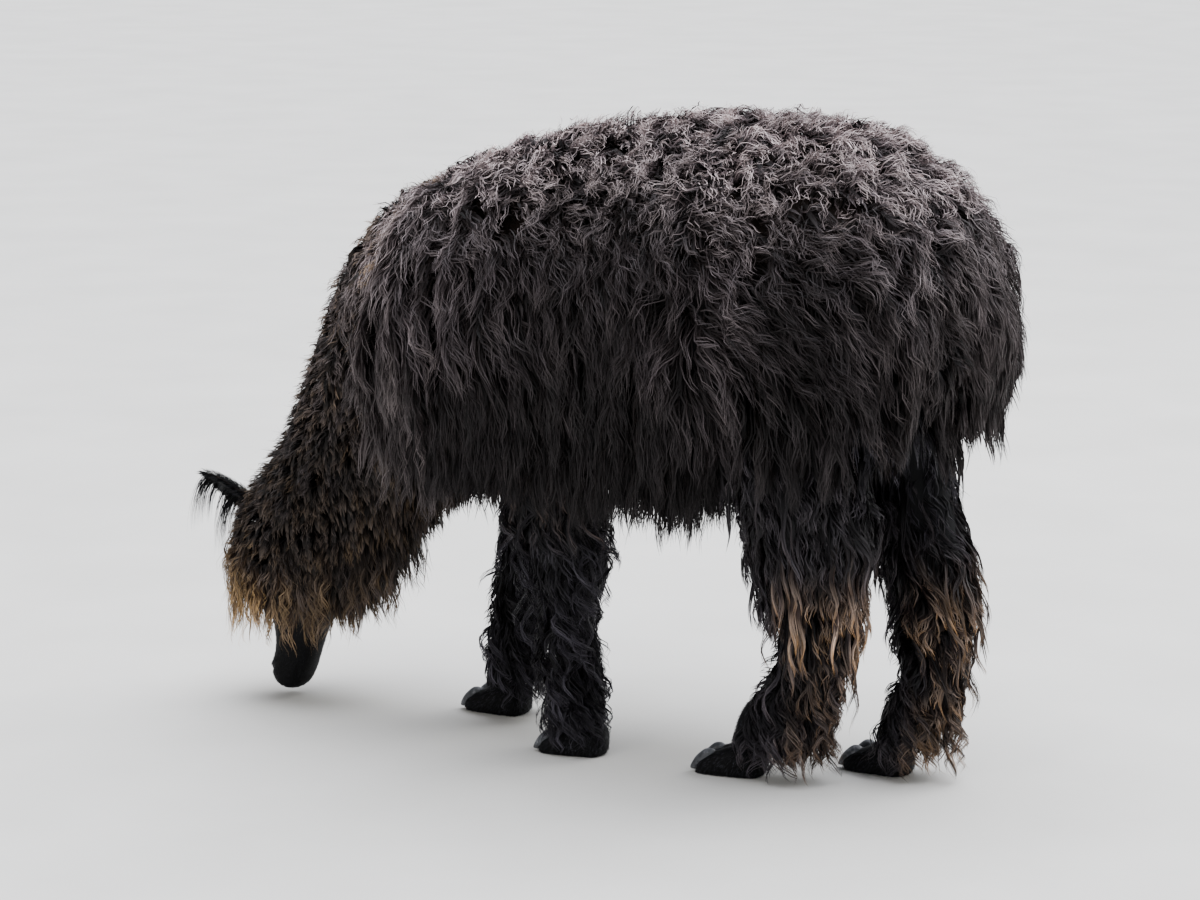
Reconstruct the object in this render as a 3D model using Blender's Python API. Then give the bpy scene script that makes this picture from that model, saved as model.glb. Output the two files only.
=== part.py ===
"""Life-size still model of a grazing, unshorn alpaca: a Blender 4.5 script, metres, +Z up.

The animal faces -X with its left side towards -Y, its head lowered so that the lips are just over
the floor. Each solid reaches out to the tips of the fleece. The whole is laid out in a drawing frame
with X = 0 under the middle of the back, and is moved at the end so that the origin is under the
middle of the model's box, on the floor.
"""

import math

import bmesh
import bpy
import numpy as np
from mathutils import Matrix, Vector

# ---------------------------------------------------------------- driving sizes, in metres
GAP = 0.0004  # clearance kept between pieces that meet

# Trunk with its fleece: x of the section, top, bottom (tips of the belly fringe), half width.
TRUNK_SECTIONS = (
    ("breast_end", -0.500, 0.620, 0.620, 0.000),
    ("breast", -0.462, 0.790, 0.450, 0.165),
    ("shoulder", -0.370, 0.880, 0.372, 0.232),
    ("withers", -0.230, 0.932, 0.385, 0.262),
    ("back", -0.060, 0.963, 0.392, 0.270),
    ("belly", 0.080, 0.985, 0.376, 0.274),
    ("flank", 0.200, 0.977, 0.450, 0.272),
    ("croup", 0.330, 0.955, 0.470, 0.262),
    ("tail_head", 0.425, 0.895, 0.480, 0.225),
    ("rump", 0.485, 0.800, 0.540, 0.150),
    ("rump_end", 0.508, 0.672, 0.672, 0.000),
)
TRUNK_WIDEST = 0.46  # height of the widest line, as a share from bottom to top
TRUNK_RINGS, TRUNK_AROUND = 27, 30
BACK_ROUNDNESS, BELLY_ROUNDNESS = 2.15, 2.7  # superellipse exponents of the two halves
FRINGE_LOBE = 0.013  # how far neighbouring locks of the belly fringe differ
FLEECE_RELIEF = 0.004  # swell of the big locks over the rest of the trunk

# Tail, hanging against the rump: x, height, half thickness, half width.
TAIL_SECTIONS = (
    ("root", 0.420, 0.855, 0.026, 0.044),
    ("bend", 0.472, 0.780, 0.032, 0.056),
    ("middle", 0.495, 0.690, 0.034, 0.062),
    ("low", 0.491, 0.605, 0.033, 0.060),
    ("brush", 0.475, 0.535, 0.028, 0.046),
    ("tip", 0.462, 0.485, 0.008, 0.016),
)
TAIL_RINGS, TAIL_AROUND = 9, 8

# Neck and the wool round the head: face point (x, z) and throat point (x, z) of each section, and
# its half width. The first sections lie inside the trunk.
NECK_SECTIONS = (
    ("root", -0.300, 0.880, -0.130, 0.620, 0.150),
    ("base", -0.458, 0.832, -0.215, 0.520, 0.182),
    ("low", -0.570, 0.690, -0.290, 0.455, 0.168),
    ("middle", -0.630, 0.552, -0.368, 0.378, 0.146),
    ("high", -0.683, 0.440, -0.446, 0.286, 0.130),
    ("poll", -0.740, 0.366, -0.490, 0.228, 0.124),
    ("brow", -0.780, 0.292, -0.516, 0.186, 0.122),
    ("cheek", -0.796, 0.222, -0.534, 0.164, 0.118),
    ("fringe", -0.801, 0.156, -0.546, 0.152, 0.110),
    ("hem", -0.793, 0.108, -0.564, 0.146, 0.098),
)
POLL_SECTION = 5.0  # where the neck meets the head's wool, counted in sections from the root
NECK_RINGS, NECK_AROUND = 17, 22
NECK_ROUNDNESS = 2.2
HEM_LOBE = 0.007  # zigzag of the fringe's tips
HEM_HOLLOW, HEM_RIM = 0.030, 0.65  # depth of the hollow under the fringe, and its size

# Head in its short hair, hanging: height, x of the face side, x of the jaw side, half width.
HEAD_SECTIONS = (
    ("poll_end", 0.336, -0.652, -0.648, 0.000),
    ("poll", 0.322, -0.712, -0.602, 0.046),
    ("crown", 0.290, -0.750, -0.596, 0.062),
    ("brow", 0.250, -0.764, -0.592, 0.067),
    ("eye", 0.205, -0.757, -0.592, 0.066),
    ("cheek", 0.160, -0.742, -0.604, 0.054),
    ("muzzle_top", 0.118, -0.726, -0.630, 0.0390),
    ("muzzle", 0.080, -0.723, -0.645, 0.0360),
    ("nostril", 0.048, -0.730, -0.657, 0.0370),
    ("upper_lip", 0.028, -0.725, -0.667, 0.0335),
    ("lip_edge", 0.015, -0.711, -0.679, 0.0225),
    ("lip_end", 0.011, -0.696, -0.694, 0.0000),
)
HEAD_RINGS, HEAD_AROUND, HEAD_ROUNDNESS = 17, 16, 2.3
MOUTH_ANGLE, MOUTH_TOP, MOUTH_DEPTH = 45.0, 0.058, 0.0050  # degrees round from the jaw, height
NOSTRIL_ANGLE, NOSTRIL_HEIGHT, NOSTRIL_DEPTH = 45.0, 0.046, 0.0055  # degrees round from the nose
LIP_SPLIT = 0.0035  # depth of the notch in the upper lip

EYE_RADIUS = 0.0185
EYE_X, EYE_Y, EYE_Z = -0.716, 0.0500, 0.203
EYE_AROUND, EYE_RINGS = 12, 8

# Ears from root to tip, cupped, with the hollow towards the facing direction.
# The left ear points forward and down, and the right one is laid back beside the neck.
EAR_ROOT = (-0.728, 0.048, 0.292)
EAR_TIP = {"left": (-0.811, 0.078, 0.366), "right": (-0.742, 0.178, 0.400)}
EAR_FACING = {"left": (-0.42, 0.76, -0.50), "right": (-0.85, 0.20, -0.45)}
EAR_HALF_BREADTH, EAR_THICKNESS, EAR_CUP = 0.0240, 0.0160, 0.35
EAR_RINGS, EAR_AROUND = 7, 8

# Legs in their wool, from inside the trunk down to the hem over the foot: x, distance from the
# midline, height, half depth fore and aft, half width.
LEG_SECTIONS = {
    "foreleg_left": (
        (-0.190, 0.118, 0.600, 0.098, 0.085),
        (-0.166, 0.106, 0.480, 0.094, 0.076),
        (-0.154, 0.092, 0.360, 0.084, 0.068),
        (-0.138, 0.080, 0.285, 0.062, 0.056),
        (-0.144, 0.074, 0.235, 0.050, 0.049),
        (-0.153, 0.070, 0.170, 0.052, 0.048),
        (-0.146, 0.068, 0.110, 0.060, 0.052),
        (-0.141, 0.068, 0.060, 0.057, 0.051),
        (-0.137, 0.068, 0.026, 0.046, 0.044),
    ),
    "foreleg_right": (
        (-0.220, 0.118, 0.600, 0.098, 0.085),
        (-0.234, 0.106, 0.480, 0.088, 0.076),
        (-0.270, 0.092, 0.360, 0.074, 0.067),
        (-0.298, 0.081, 0.285, 0.058, 0.056),
        (-0.311, 0.075, 0.230, 0.050, 0.050),
        (-0.319, 0.070, 0.165, 0.051, 0.048),
        (-0.323, 0.068, 0.110, 0.054, 0.050),
        (-0.330, 0.068, 0.065, 0.050, 0.047),
        (-0.336, 0.068, 0.036, 0.040, 0.039),
    ),
    "hindleg_left": (
        (0.228, 0.132, 0.620, 0.128, 0.100),
        (0.246, 0.120, 0.500, 0.112, 0.092),
        (0.252, 0.104, 0.420, 0.106, 0.086),
        (0.247, 0.090, 0.355, 0.101, 0.078),
        (0.250, 0.075, 0.305, 0.092, 0.068),
        (0.265, 0.062, 0.260, 0.084, 0.056),
        (0.263, 0.055, 0.215, 0.075, 0.050),
        (0.243, 0.053, 0.175, 0.067, 0.048),
        (0.230, 0.053, 0.130, 0.076, 0.048),
        (0.214, 0.053, 0.080, 0.080, 0.046),
        (0.205, 0.053, 0.024, 0.054, 0.040),
    ),
    "hindleg_right": (
        (0.290, 0.132, 0.620, 0.115, 0.100),
        (0.312, 0.120, 0.500, 0.082, 0.090),
        (0.340, 0.104, 0.420, 0.074, 0.082),
        (0.374, 0.088, 0.355, 0.076, 0.072),
        (0.391, 0.073, 0.300, 0.076, 0.064),
        (0.402, 0.061, 0.257, 0.077, 0.055),
        (0.396, 0.055, 0.210, 0.070, 0.050),
        (0.394, 0.052, 0.165, 0.064, 0.047),
        (0.388, 0.052, 0.120, 0.065, 0.047),
        (0.374, 0.052, 0.082, 0.060, 0.045),
        (0.362, 0.052, 0.030, 0.048, 0.039),
    ),
}
JOINT_HEIGHT = 0.262  # knees and hocks, where upper and lower leg meet
LEG_RINGS, LEG_AROUND = 13, 12
LEG_LOBE = 0.0045  # swell of neighbouring locks down the leg

# Feet: x of the toe tips, distance from the midline, degrees that the toes point outwards.
FEET = {
    "foreleg_left": (-0.184, 0.070, 6.0),
    "foreleg_right": (-0.406, 0.070, 4.0),
    "hindleg_left": (0.076, 0.055, 4.0),
    "hindleg_right": (0.262, 0.054, 5.0),
}
FOOT_LENGTH, TOE_SPACING, TOE_SPLAY = 0.102, 0.0270, 3.5
SOLE_TRIM = 0.004  # how much of a toe's round underside is cut off to make the flat sole
# Along each toe from heel to tip: share of its length, half width, top, bottom.
TOE_SECTIONS = (
    (0.00, 0.0070, 0.046, 0.010),
    (0.10, 0.0150, 0.056, -SOLE_TRIM),
    (0.40, 0.0190, 0.054, -SOLE_TRIM),
    (0.72, 0.0182, 0.038, -SOLE_TRIM),
    (0.92, 0.0135, 0.027, -SOLE_TRIM),
    (1.00, 0.0050, 0.017, 0.004),
)
TOE_AROUND = 8
# Along each nail: distance ahead of the toe's tip, height of its middle, half width, half height.
NAIL_SECTIONS = (
    (-0.0270, 0.0300, 0.0090, 0.0070),
    (-0.0160, 0.0245, 0.0120, 0.0120),
    (0.0000, 0.0145, 0.0095, 0.0100),
    (0.0090, 0.0075, 0.0025, 0.0030),
)
NAIL_AROUND = 6

# Base colour and roughness of each material. None of them is metallic.
COLOURS = {
    "fleece": ((0.028, 0.021, 0.019), 0.85),
    "neck_wool": ((0.036, 0.024, 0.017), 0.85),
    "leg_wool": ((0.020, 0.014, 0.012), 0.80),
    "face_hair": ((0.006, 0.006, 0.007), 0.60),
    "nail": ((0.075, 0.075, 0.080), 0.55),
    "eye": ((0.010, 0.006, 0.004), 0.10),
}


# ---------------------------------------------------------------- tools
def make_materials():
    made = {}
    for name, (colour, roughness) in COLOURS.items():
        material = bpy.data.materials.new(name)
        material.use_nodes = True
        shader = material.node_tree.nodes["Principled BSDF"]
        shader.inputs["Base Color"].default_value = (*colour, 1.0)
        shader.inputs["Roughness"].default_value = roughness
        shader.inputs["Metallic"].default_value = 0.0
        made[name] = material
    return made


def smooth_through(knots, values, places):
    """Rows of values at the given places, on cubic Hermite curves through the rows at the knots."""
    knots, values, places = (np.asarray(part, float) for part in (knots, values, places))
    slopes = np.gradient(values, knots, axis=0)
    left = np.clip(np.searchsorted(knots, places, side="right") - 1, 0, len(knots) - 2)
    span = (knots[left + 1] - knots[left])[:, None]
    t = (places - knots[left])[:, None] / span
    return (
        (2 * t**3 - 3 * t**2 + 1) * values[left]
        + (t**3 - 2 * t**2 + t) * span * slopes[left]
        + (3 * t**2 - 2 * t**3) * values[left + 1]
        + (t**3 - t**2) * span * slopes[left + 1]
    )


def superellipse(around, roundness=2.0):
    """Cosine-like and sine-like coordinates of points round a superellipse of that exponent."""
    angle = np.linspace(0.0, 2 * math.pi, around, endpoint=False)
    cosine, sine = np.cos(angle), np.sin(angle)
    power = 2 / roundness
    return np.sign(cosine) * np.abs(cosine) ** power, np.sign(sine) * np.abs(sine) ** power


def add_object(name, points, faces):
    mesh = bpy.data.meshes.new(name)
    mesh.from_pydata([tuple(point) for point in points], [], faces)
    work = bmesh.new()
    work.from_mesh(mesh)
    bmesh.ops.recalc_face_normals(work, faces=work.faces)
    work.to_mesh(mesh)
    work.free()
    made = bpy.data.objects.new(name, mesh)
    bpy.context.scene.collection.objects.link(made)
    return made


def loft(name, rings):
    """Closed solid through flat rings of points, (rings, around, 3), with a flat face at each end."""
    count, around = rings.shape[:2]
    last = (count - 1) * around
    faces = [tuple(range(around))[::-1], tuple(range(last, last + around))]
    for low in range(0, last, around):
        high = low + around
        for step in range(around):
            after = (step + 1) % around
            faces.append((low + step, low + after, high + after))
            faces.append((low + step, high + after, high + step))
    return add_object(name, rings.reshape(-1, 3), faces)


def combine(target, other, operation):
    """Applies an exact Boolean of the other solid to the target's mesh."""
    modifier = target.modifiers.new(operation.lower(), "BOOLEAN")
    modifier.operation = operation
    modifier.solver = "EXACT"
    modifier.object = other
    bpy.context.view_layer.update()
    graph = bpy.context.evaluated_depsgraph_get()
    mesh = bpy.data.meshes.new_from_object(target.evaluated_get(graph))
    target.modifiers.clear()
    target.data = mesh


def cut_away(target, *cutters):
    for cutter in cutters:
        combine(target, cutter, "DIFFERENCE")


def remove(*objects):
    for thing in objects:
        bpy.data.objects.remove(thing)


def keep_side(target, point, normal):
    """Keeps the part of a solid that the plane's normal points to, and caps the cut."""
    work = bmesh.new()
    work.from_mesh(target.data)
    everything = work.verts[:] + work.edges[:] + work.faces[:]
    cut = bmesh.ops.bisect_plane(
        work, geom=everything, dist=1e-7, plane_co=point, plane_no=normal, clear_inner=True
    )
    edges = [part for part in cut["geom_cut"] if isinstance(part, bmesh.types.BMEdge)]
    bmesh.ops.holes_fill(work, edges=edges, sides=0)
    bmesh.ops.recalc_face_normals(work, faces=work.faces)
    work.to_mesh(target.data)
    work.free()


def keep_largest(target):
    """Drops the crumbs that cutting has left beside a solid."""
    work = bmesh.new()
    work.from_mesh(target.data)
    unseen = set(work.verts)
    groups = []
    while unseen:
        group, edge_of_group = set(), {next(iter(unseen))}
        while edge_of_group:
            group |= edge_of_group
            near = {edge.other_vert(vert) for vert in edge_of_group for edge in vert.link_edges}
            edge_of_group = near - group
        unseen -= group
        groups.append(group)
    largest = max(groups, key=len)
    bmesh.ops.delete(work, geom=[vert for vert in work.verts if vert not in largest], context="VERTS")
    work.to_mesh(target.data)
    work.free()


def copy_of(source, name):
    made = bpy.data.objects.new(name, source.data.copy())
    bpy.context.scene.collection.objects.link(made)
    return made


def dress(target, material, crease=50.0):
    target.data.materials.clear()
    target.data.materials.append(material)
    target.data.shade_smooth()
    target.data.set_sharp_from_angle(angle=math.radians(crease))


def side_of(name):
    """-1 for the animal's left side, which faces -Y, and 1 for its right."""
    return -1.0 if name.endswith("left") else 1.0


# ---------------------------------------------------------------- trunk and tail
def trunk_rings(grow=0.0):
    """Upright rings, closer together towards the domed ends, with scalloped locks along the belly."""
    table = np.array([row[1:] for row in TRUNK_SECTIONS])
    front, rear = table[0, 0], table[-1, 0]
    middle, reach = (front + rear) / 2, (rear - front) / 2
    knots = np.arcsin(np.clip((table[:, 0] - middle) / reach, -1, 1))
    end = math.radians(84.0)
    turn = np.linspace(-end, end, TRUNK_RINGS)
    top, bottom, half = smooth_through(knots, table[:, 1:], turn).T
    widest = bottom + TRUNK_WIDEST * (top - bottom)
    wide, high = superellipse(TRUNK_AROUND, BACK_ROUNDNESS)
    low_wide, low_high = superellipse(TRUNK_AROUND, BELLY_ROUNDNESS)
    wide, high = np.where(high < 0, low_wide, wide), np.where(high < 0, low_high, high)
    down = np.maximum(-high, 0)
    ring, step = np.indices((TRUNK_RINGS, TRUNK_AROUND))
    fade = np.cos(turn)[:, None]
    swell = FLEECE_RELIEF * np.where((ring + step // 2) % 2, 1.0, -1.0) * fade * (1 - down)
    lobe = FRINGE_LOBE * np.where(ring % 2, 1.0, -1.0) * fade * down**4
    reach_up = np.where(high > 0, (top - widest)[:, None], (widest - bottom)[:, None])
    points = np.empty((TRUNK_RINGS, TRUNK_AROUND, 3))
    points[..., 0] = (middle + (reach + grow) * np.sin(turn))[:, None]
    points[..., 1] = wide * (half[:, None] + grow + swell)
    points[..., 2] = widest[:, None] + high * (reach_up + grow + swell) - lobe
    return points


def tail_rings():
    """Oval rings square to the tail's own line."""
    table = np.array([row[1:] for row in TAIL_SECTIONS])
    places = np.linspace(0, len(table) - 1, TAIL_RINGS)
    x, z, thick, half = smooth_through(np.arange(len(table)), table, places).T
    run = np.stack([np.gradient(x), np.gradient(z)], -1)
    run /= np.linalg.norm(run, axis=1, keepdims=True)
    wide, out = superellipse(TAIL_AROUND)
    points = np.empty((TAIL_RINGS, TAIL_AROUND, 3))
    points[..., 0] = x[:, None] - run[:, 1:] * out * thick[:, None]
    points[..., 1] = wide * half[:, None]
    points[..., 2] = z[:, None] + run[:, :1] * out * thick[:, None]
    return points


# ---------------------------------------------------------------- neck, head and ears
def neck_curves(places):
    """Face points, throat points and half widths along the neck, counted in sections."""
    table = np.array([row[1:] for row in NECK_SECTIONS])
    values = smooth_through(np.arange(len(table)), table, places)
    across = np.zeros(len(values))
    face = np.stack([values[:, 0], across, values[:, 1]], -1)
    throat = np.stack([values[:, 2], across, values[:, 3]], -1)
    return face, throat, values[:, 4]


def neck_rings():
    """A ring through each pair of face and throat points. The last one turns in under the fringe."""
    places = np.linspace(0, len(NECK_SECTIONS) - 1, NECK_RINGS)
    face, throat, half = neck_curves(places)
    wide, deep = superellipse(NECK_AROUND, NECK_ROUNDNESS)
    middle, reach = (face + throat) / 2, (face - throat) / 2
    points = middle[:, None] + reach[:, None] * deep[None, :, None]
    points[..., 1] = wide * half[:, None]
    inner = middle[-1] + (points[-1] - middle[-1]) * HEM_RIM + (0, 0, HEM_HOLLOW)
    points[-1, :, 2] += np.where(np.arange(NECK_AROUND) % 2, HEM_LOBE, -HEM_LOBE)
    return np.concatenate([points, inner[None]])


def poll_plane():
    """A point of the cut between neck and head wool, and its normal, which points to the trunk."""
    face, throat, _ = neck_curves(np.array([POLL_SECTION]))
    across = Vector(throat[0] - face[0])
    return Vector(face[0]), Vector((-across.z, 0.0, across.x)).normalized()


def head_rings(grow=0.0):
    """Level rings down the head, with the mouth, the split lip and the nostrils pressed in."""
    table = np.array([row[1:] for row in HEAD_SECTIONS])
    places = np.linspace(0, len(table) - 1, HEAD_RINGS + 2)[1:-1]
    z, face, jaw, half = smooth_through(np.arange(len(table)), table, places).T[..., None]
    wide, deep = superellipse(HEAD_AROUND, HEAD_ROUNDNESS)
    angle = np.degrees(np.linspace(0, 2 * math.pi, HEAD_AROUND, endpoint=False))
    from_jaw, from_nose = np.abs(angle - 90), np.abs(angle - 270)
    column = 180 / HEAD_AROUND
    mouth = (np.abs(from_jaw - MOUTH_ANGLE) < column) * (z < MOUTH_TOP)
    split = (from_nose < column) * (z < NOSTRIL_HEIGHT)
    beside = np.abs(from_nose - NOSTRIL_ANGLE) < column
    nostril = beside * np.exp(-(((z - NOSTRIL_HEIGHT) / 0.007) ** 2))
    pressed = MOUTH_DEPTH * mouth + LIP_SPLIT * split + NOSTRIL_DEPTH * nostril
    size = np.maximum(half, 1e-4)
    inward = 1 - np.minimum(pressed / size, 0.35)
    points = np.empty((HEAD_RINGS, HEAD_AROUND, 3))
    points[..., 0] = (face + jaw) / 2 + deep * ((jaw - face) / 2 + grow) * inward
    points[..., 1] = wide * (half + grow) * inward
    points[..., 2] = z + grow * np.linspace(1, -1, HEAD_RINGS)[:, None]
    return points


def ear_rings(side, grow=0.0):
    """Crescent rings from the root inside the head to the tip, hollow on the facing side.

    Grown rings have no hollow.
    """
    mirror = Vector((1, side_of(side), 1))
    root, tip = Vector(EAR_ROOT) * mirror, Vector(EAR_TIP[side]) * mirror
    run = (tip - root).normalized()
    facing = Vector(EAR_FACING[side]) * mirror
    facing = (facing - run * facing.dot(run)).normalized()
    across = run.cross(facing)
    share = np.linspace(0, 1, EAR_RINGS)
    breadth = EAR_HALF_BREADTH * np.interp(
        share, (0, 0.2, 0.5, 0.75, 0.92, 1), (0.5, 0.75, 1.0, 0.85, 0.45, 0.12)
    )
    thick = EAR_THICKNESS * np.interp(share, (0, 0.4, 0.8, 1), (0.9, 1.0, 0.6, 0.2))
    wide, out = superellipse(EAR_AROUND)
    cup = 0.0 if grow else EAR_CUP
    front = out > -1e-6
    outward = np.where(front, -cup * out, out)
    line = np.array(root) + np.array(tip - root) * share[:, None]
    line += np.array(run) * grow * np.linspace(-1, 1, EAR_RINGS)[:, None]
    bow = 0.006 * np.sin(math.pi * share)[:, None]
    line -= np.array(facing) * bow
    level = outward * thick[:, None] + np.where(front, grow, -grow)
    sideways = wide * (breadth[:, None] + grow)
    return line[:, None] + sideways[..., None] * np.array(across) + level[..., None] * np.array(facing)


def eye_ball(name, radius):
    """A ball whose poles lie across the head."""
    mesh = bpy.data.meshes.new(name)
    work = bmesh.new()
    bmesh.ops.create_uvsphere(work, u_segments=EYE_AROUND, v_segments=EYE_RINGS, radius=radius)
    work.to_mesh(mesh)
    work.free()
    place = Matrix.Translation((EYE_X, side_of(name) * EYE_Y, EYE_Z))
    mesh.transform(place @ Matrix.Rotation(math.pi / 2, 4, "X"))
    made = bpy.data.objects.new(name, mesh)
    bpy.context.scene.collection.objects.link(made)
    return made


# ---------------------------------------------------------------- legs and feet
def leg_rings(name, grow=0.0):
    """Level rings down a leg, each swollen or drawn in by its locks of wool."""
    table = np.array(LEG_SECTIONS[name])
    places = np.linspace(0, len(table) - 1, LEG_RINGS)
    x, y, z, deep, half = smooth_through(np.arange(len(table)), table, places).T[..., None]
    along, wide = superellipse(LEG_AROUND)
    ring, step = np.indices((LEG_RINGS, LEG_AROUND))
    swell = LEG_LOBE * np.where((ring + step) % 2, 1.0, -1.0) * np.abs(along)
    points = np.empty((LEG_RINGS, LEG_AROUND, 3))
    points[..., 0] = x + along * (deep + grow + swell)
    points[..., 1] = side_of(name) * y + wide * (half + grow)
    points[..., 2] = z + grow * np.linspace(1, -1, LEG_RINGS)[:, None]
    return points


def toe_frame(leg, toe):
    """Place of a toe: its heel end at the origin, its length along -X, turned about the heel."""
    tip_x, away, outward = FEET[leg]
    side = side_of(leg)
    place = Matrix.Translation((tip_x + FOOT_LENGTH, side * away, 0.0))
    turn = -side * math.radians(outward)
    offset = Matrix.Translation((0.0, toe * TOE_SPACING / 2, 0.0))
    splay = Matrix.Rotation(-toe * math.radians(TOE_SPLAY), 4, "Z")
    return place @ Matrix.Rotation(turn, 4, "Z") @ offset @ splay


def toe_solid(leg, toe):
    table = np.array(TOE_SECTIONS)[..., None]
    wide, high = superellipse(TOE_AROUND, 2.4)
    points = np.empty((len(table), TOE_AROUND, 3))
    points[..., 0] = -FOOT_LENGTH * table[:, 0]
    points[..., 1] = wide * table[:, 1]
    points[..., 2] = (table[:, 2] + table[:, 3]) / 2 + high * (table[:, 2] - table[:, 3]) / 2
    made = loft("toe", points)
    made.data.transform(toe_frame(leg, toe))
    return made


def nail_solid(name, leg, toe, grow=0.0):
    table = np.array(NAIL_SECTIONS)[..., None]
    wide, high = superellipse(NAIL_AROUND)
    points = np.empty((len(table), NAIL_AROUND, 3))
    points[..., 0] = -FOOT_LENGTH - table[:, 0] - grow * np.linspace(-1, 1, len(table))[:, None]
    points[..., 1] = wide * (table[:, 2] + grow)
    points[..., 2] = table[:, 1] + high * (table[:, 3] + grow)
    made = loft(name, points)
    made.data.transform(toe_frame(leg, toe))
    return made


def make_leg(leg, trunk_cutter, materials):
    """Upper leg, lower leg, foot and two nails of one leg."""
    whole = loft(leg + "_upper", leg_rings(leg))
    lower = copy_of(whole, leg + "_lower")
    keep_side(whole, (0, 0, JOINT_HEIGHT + GAP / 2), (0, 0, 1))
    keep_side(lower, (0, 0, JOINT_HEIGHT - GAP / 2), (0, 0, -1))
    cut_away(whole, trunk_cutter)
    foot = toe_solid(leg, -1)
    foot.name = leg + "_foot"
    other_toe = toe_solid(leg, 1)
    combine(foot, other_toe, "UNION")
    keep_side(foot, (0, 0, 0), (0, 0, 1))
    hem_cutter = loft("hem_cutter", leg_rings(leg, GAP))
    cut_away(foot, hem_cutter)
    side = int(side_of(leg))
    for place, toe in (("outer", side), ("inner", -side)):
        nail = nail_solid(leg + "_nail_" + place, leg, toe)
        cutter = nail_solid("nail_cutter", leg, toe, GAP)
        cut_away(foot, cutter)
        cut_away(nail, hem_cutter)
        keep_largest(nail)
        remove(cutter)
        dress(nail, materials["nail"])
    keep_largest(foot)
    remove(other_toe, hem_cutter)
    dress(whole, materials["leg_wool"])
    dress(lower, materials["leg_wool"])
    dress(foot, materials["face_hair"])


# ---------------------------------------------------------------- the whole animal
def make_head_and_neck(trunk_cutter, materials):
    neck = loft("neck", neck_rings())
    topknot = copy_of(neck, "topknot")
    point, normal = poll_plane()
    keep_side(neck, point + normal * GAP / 2, normal)
    keep_side(topknot, point - normal * GAP / 2, -normal)
    head = loft("head", head_rings())
    head_cutter = loft("head_cutter", head_rings(GAP))
    cut_away(neck, trunk_cutter, head_cutter)
    cut_away(topknot, head_cutter)
    for side in ("left", "right"):
        eye = eye_ball("eye_" + side, EYE_RADIUS)
        eye_cutter = eye_ball("eye_cutter_" + side, EYE_RADIUS + GAP)
        ear = loft("ear_" + side, ear_rings(side))
        ear_cutter = loft("ear_cutter", ear_rings(side, GAP))
        cut_away(ear, head_cutter)
        cut_away(head, eye_cutter)
        cut_away(topknot, eye_cutter, ear_cutter)
        cut_away(neck, ear_cutter)
        remove(eye_cutter, ear_cutter)
        dress(eye, materials["eye"])
        dress(ear, materials["face_hair"])
    remove(head_cutter)
    dress(neck, materials["neck_wool"])
    dress(topknot, materials["neck_wool"])
    dress(head, materials["face_hair"])


def centre_over_origin():
    """Moves every solid alike, so that the origin is under the middle of the model's box."""
    solids = [thing for thing in bpy.context.scene.objects if thing.type == "MESH"]
    points = np.array([vertex.co for thing in solids for vertex in thing.data.vertices])
    low, high = points.min(0), points.max(0)
    shift = Matrix.Translation((-(low[0] + high[0]) / 2, -(low[1] + high[1]) / 2, -low[2]))
    for thing in solids:
        thing.data.transform(shift)


def main():
    for thing in list(bpy.data.objects):
        bpy.data.objects.remove(thing)
    materials = make_materials()
    trunk = loft("trunk", trunk_rings())
    trunk_cutter = loft("trunk_cutter", trunk_rings(GAP))
    tail = loft("tail", tail_rings())
    cut_away(tail, trunk_cutter)
    dress(trunk, materials["fleece"])
    dress(tail, materials["fleece"])
    make_head_and_neck(trunk_cutter, materials)
    for leg in LEG_SECTIONS:
        make_leg(leg, trunk_cutter, materials)
    remove(trunk_cutter)
    centre_over_origin()


main()
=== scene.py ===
"""Looks of a life-size grazing alpaca in full fleece, dressed over its solid parts.

Metres, +Z up, the animal faces -X and its left side is towards -Y. Shapes are laid out in the same
drawing frame as the solids, with X = 0 under the middle of the back, and are moved into the row's
frame when they are finished. One seamless skin lies inside the coat; the coat is made of thin flat
strands gathered into locks, which run along lines combed over a smooth shell of the fleece.
"""

import math
from functools import partial

import bpy
import numpy as np
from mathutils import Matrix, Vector


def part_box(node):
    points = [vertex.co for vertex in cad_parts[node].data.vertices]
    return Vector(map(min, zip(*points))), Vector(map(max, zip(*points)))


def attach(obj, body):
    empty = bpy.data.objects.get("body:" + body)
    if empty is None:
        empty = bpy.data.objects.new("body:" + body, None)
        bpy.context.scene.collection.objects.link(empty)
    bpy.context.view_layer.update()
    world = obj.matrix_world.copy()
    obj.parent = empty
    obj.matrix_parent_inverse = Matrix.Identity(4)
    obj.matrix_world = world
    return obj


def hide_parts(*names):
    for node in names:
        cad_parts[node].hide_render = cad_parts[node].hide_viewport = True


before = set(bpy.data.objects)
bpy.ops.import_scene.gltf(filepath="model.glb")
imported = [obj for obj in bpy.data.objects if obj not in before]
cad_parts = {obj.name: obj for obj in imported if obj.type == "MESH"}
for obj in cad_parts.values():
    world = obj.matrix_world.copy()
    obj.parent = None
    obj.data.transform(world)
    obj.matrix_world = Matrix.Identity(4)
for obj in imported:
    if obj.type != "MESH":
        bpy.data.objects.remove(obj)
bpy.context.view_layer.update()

SIDES = {"left": -1.0, "right": 1.0}
LEGS = ("foreleg_left", "foreleg_right", "hindleg_left", "hindleg_right")

# ---------------------------------------------------------------- outer form of the coat
# Trunk out to the tips: x, top, bottom of the closed fleece above the hanging hem, half width.
FLEECE_TRUNK = (
    (-0.500, 0.620, 0.620, 0.000), (-0.462, 0.788, 0.480, 0.163), (-0.370, 0.877, 0.430, 0.229),
    (-0.230, 0.929, 0.435, 0.258), (-0.060, 0.960, 0.440, 0.266), (0.080, 0.981, 0.440, 0.270),
    (0.200, 0.974, 0.465, 0.268), (0.330, 0.952, 0.470, 0.258), (0.425, 0.892, 0.490, 0.221),
    (0.485, 0.798, 0.550, 0.147), (0.506, 0.672, 0.672, 0.000),
)
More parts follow.
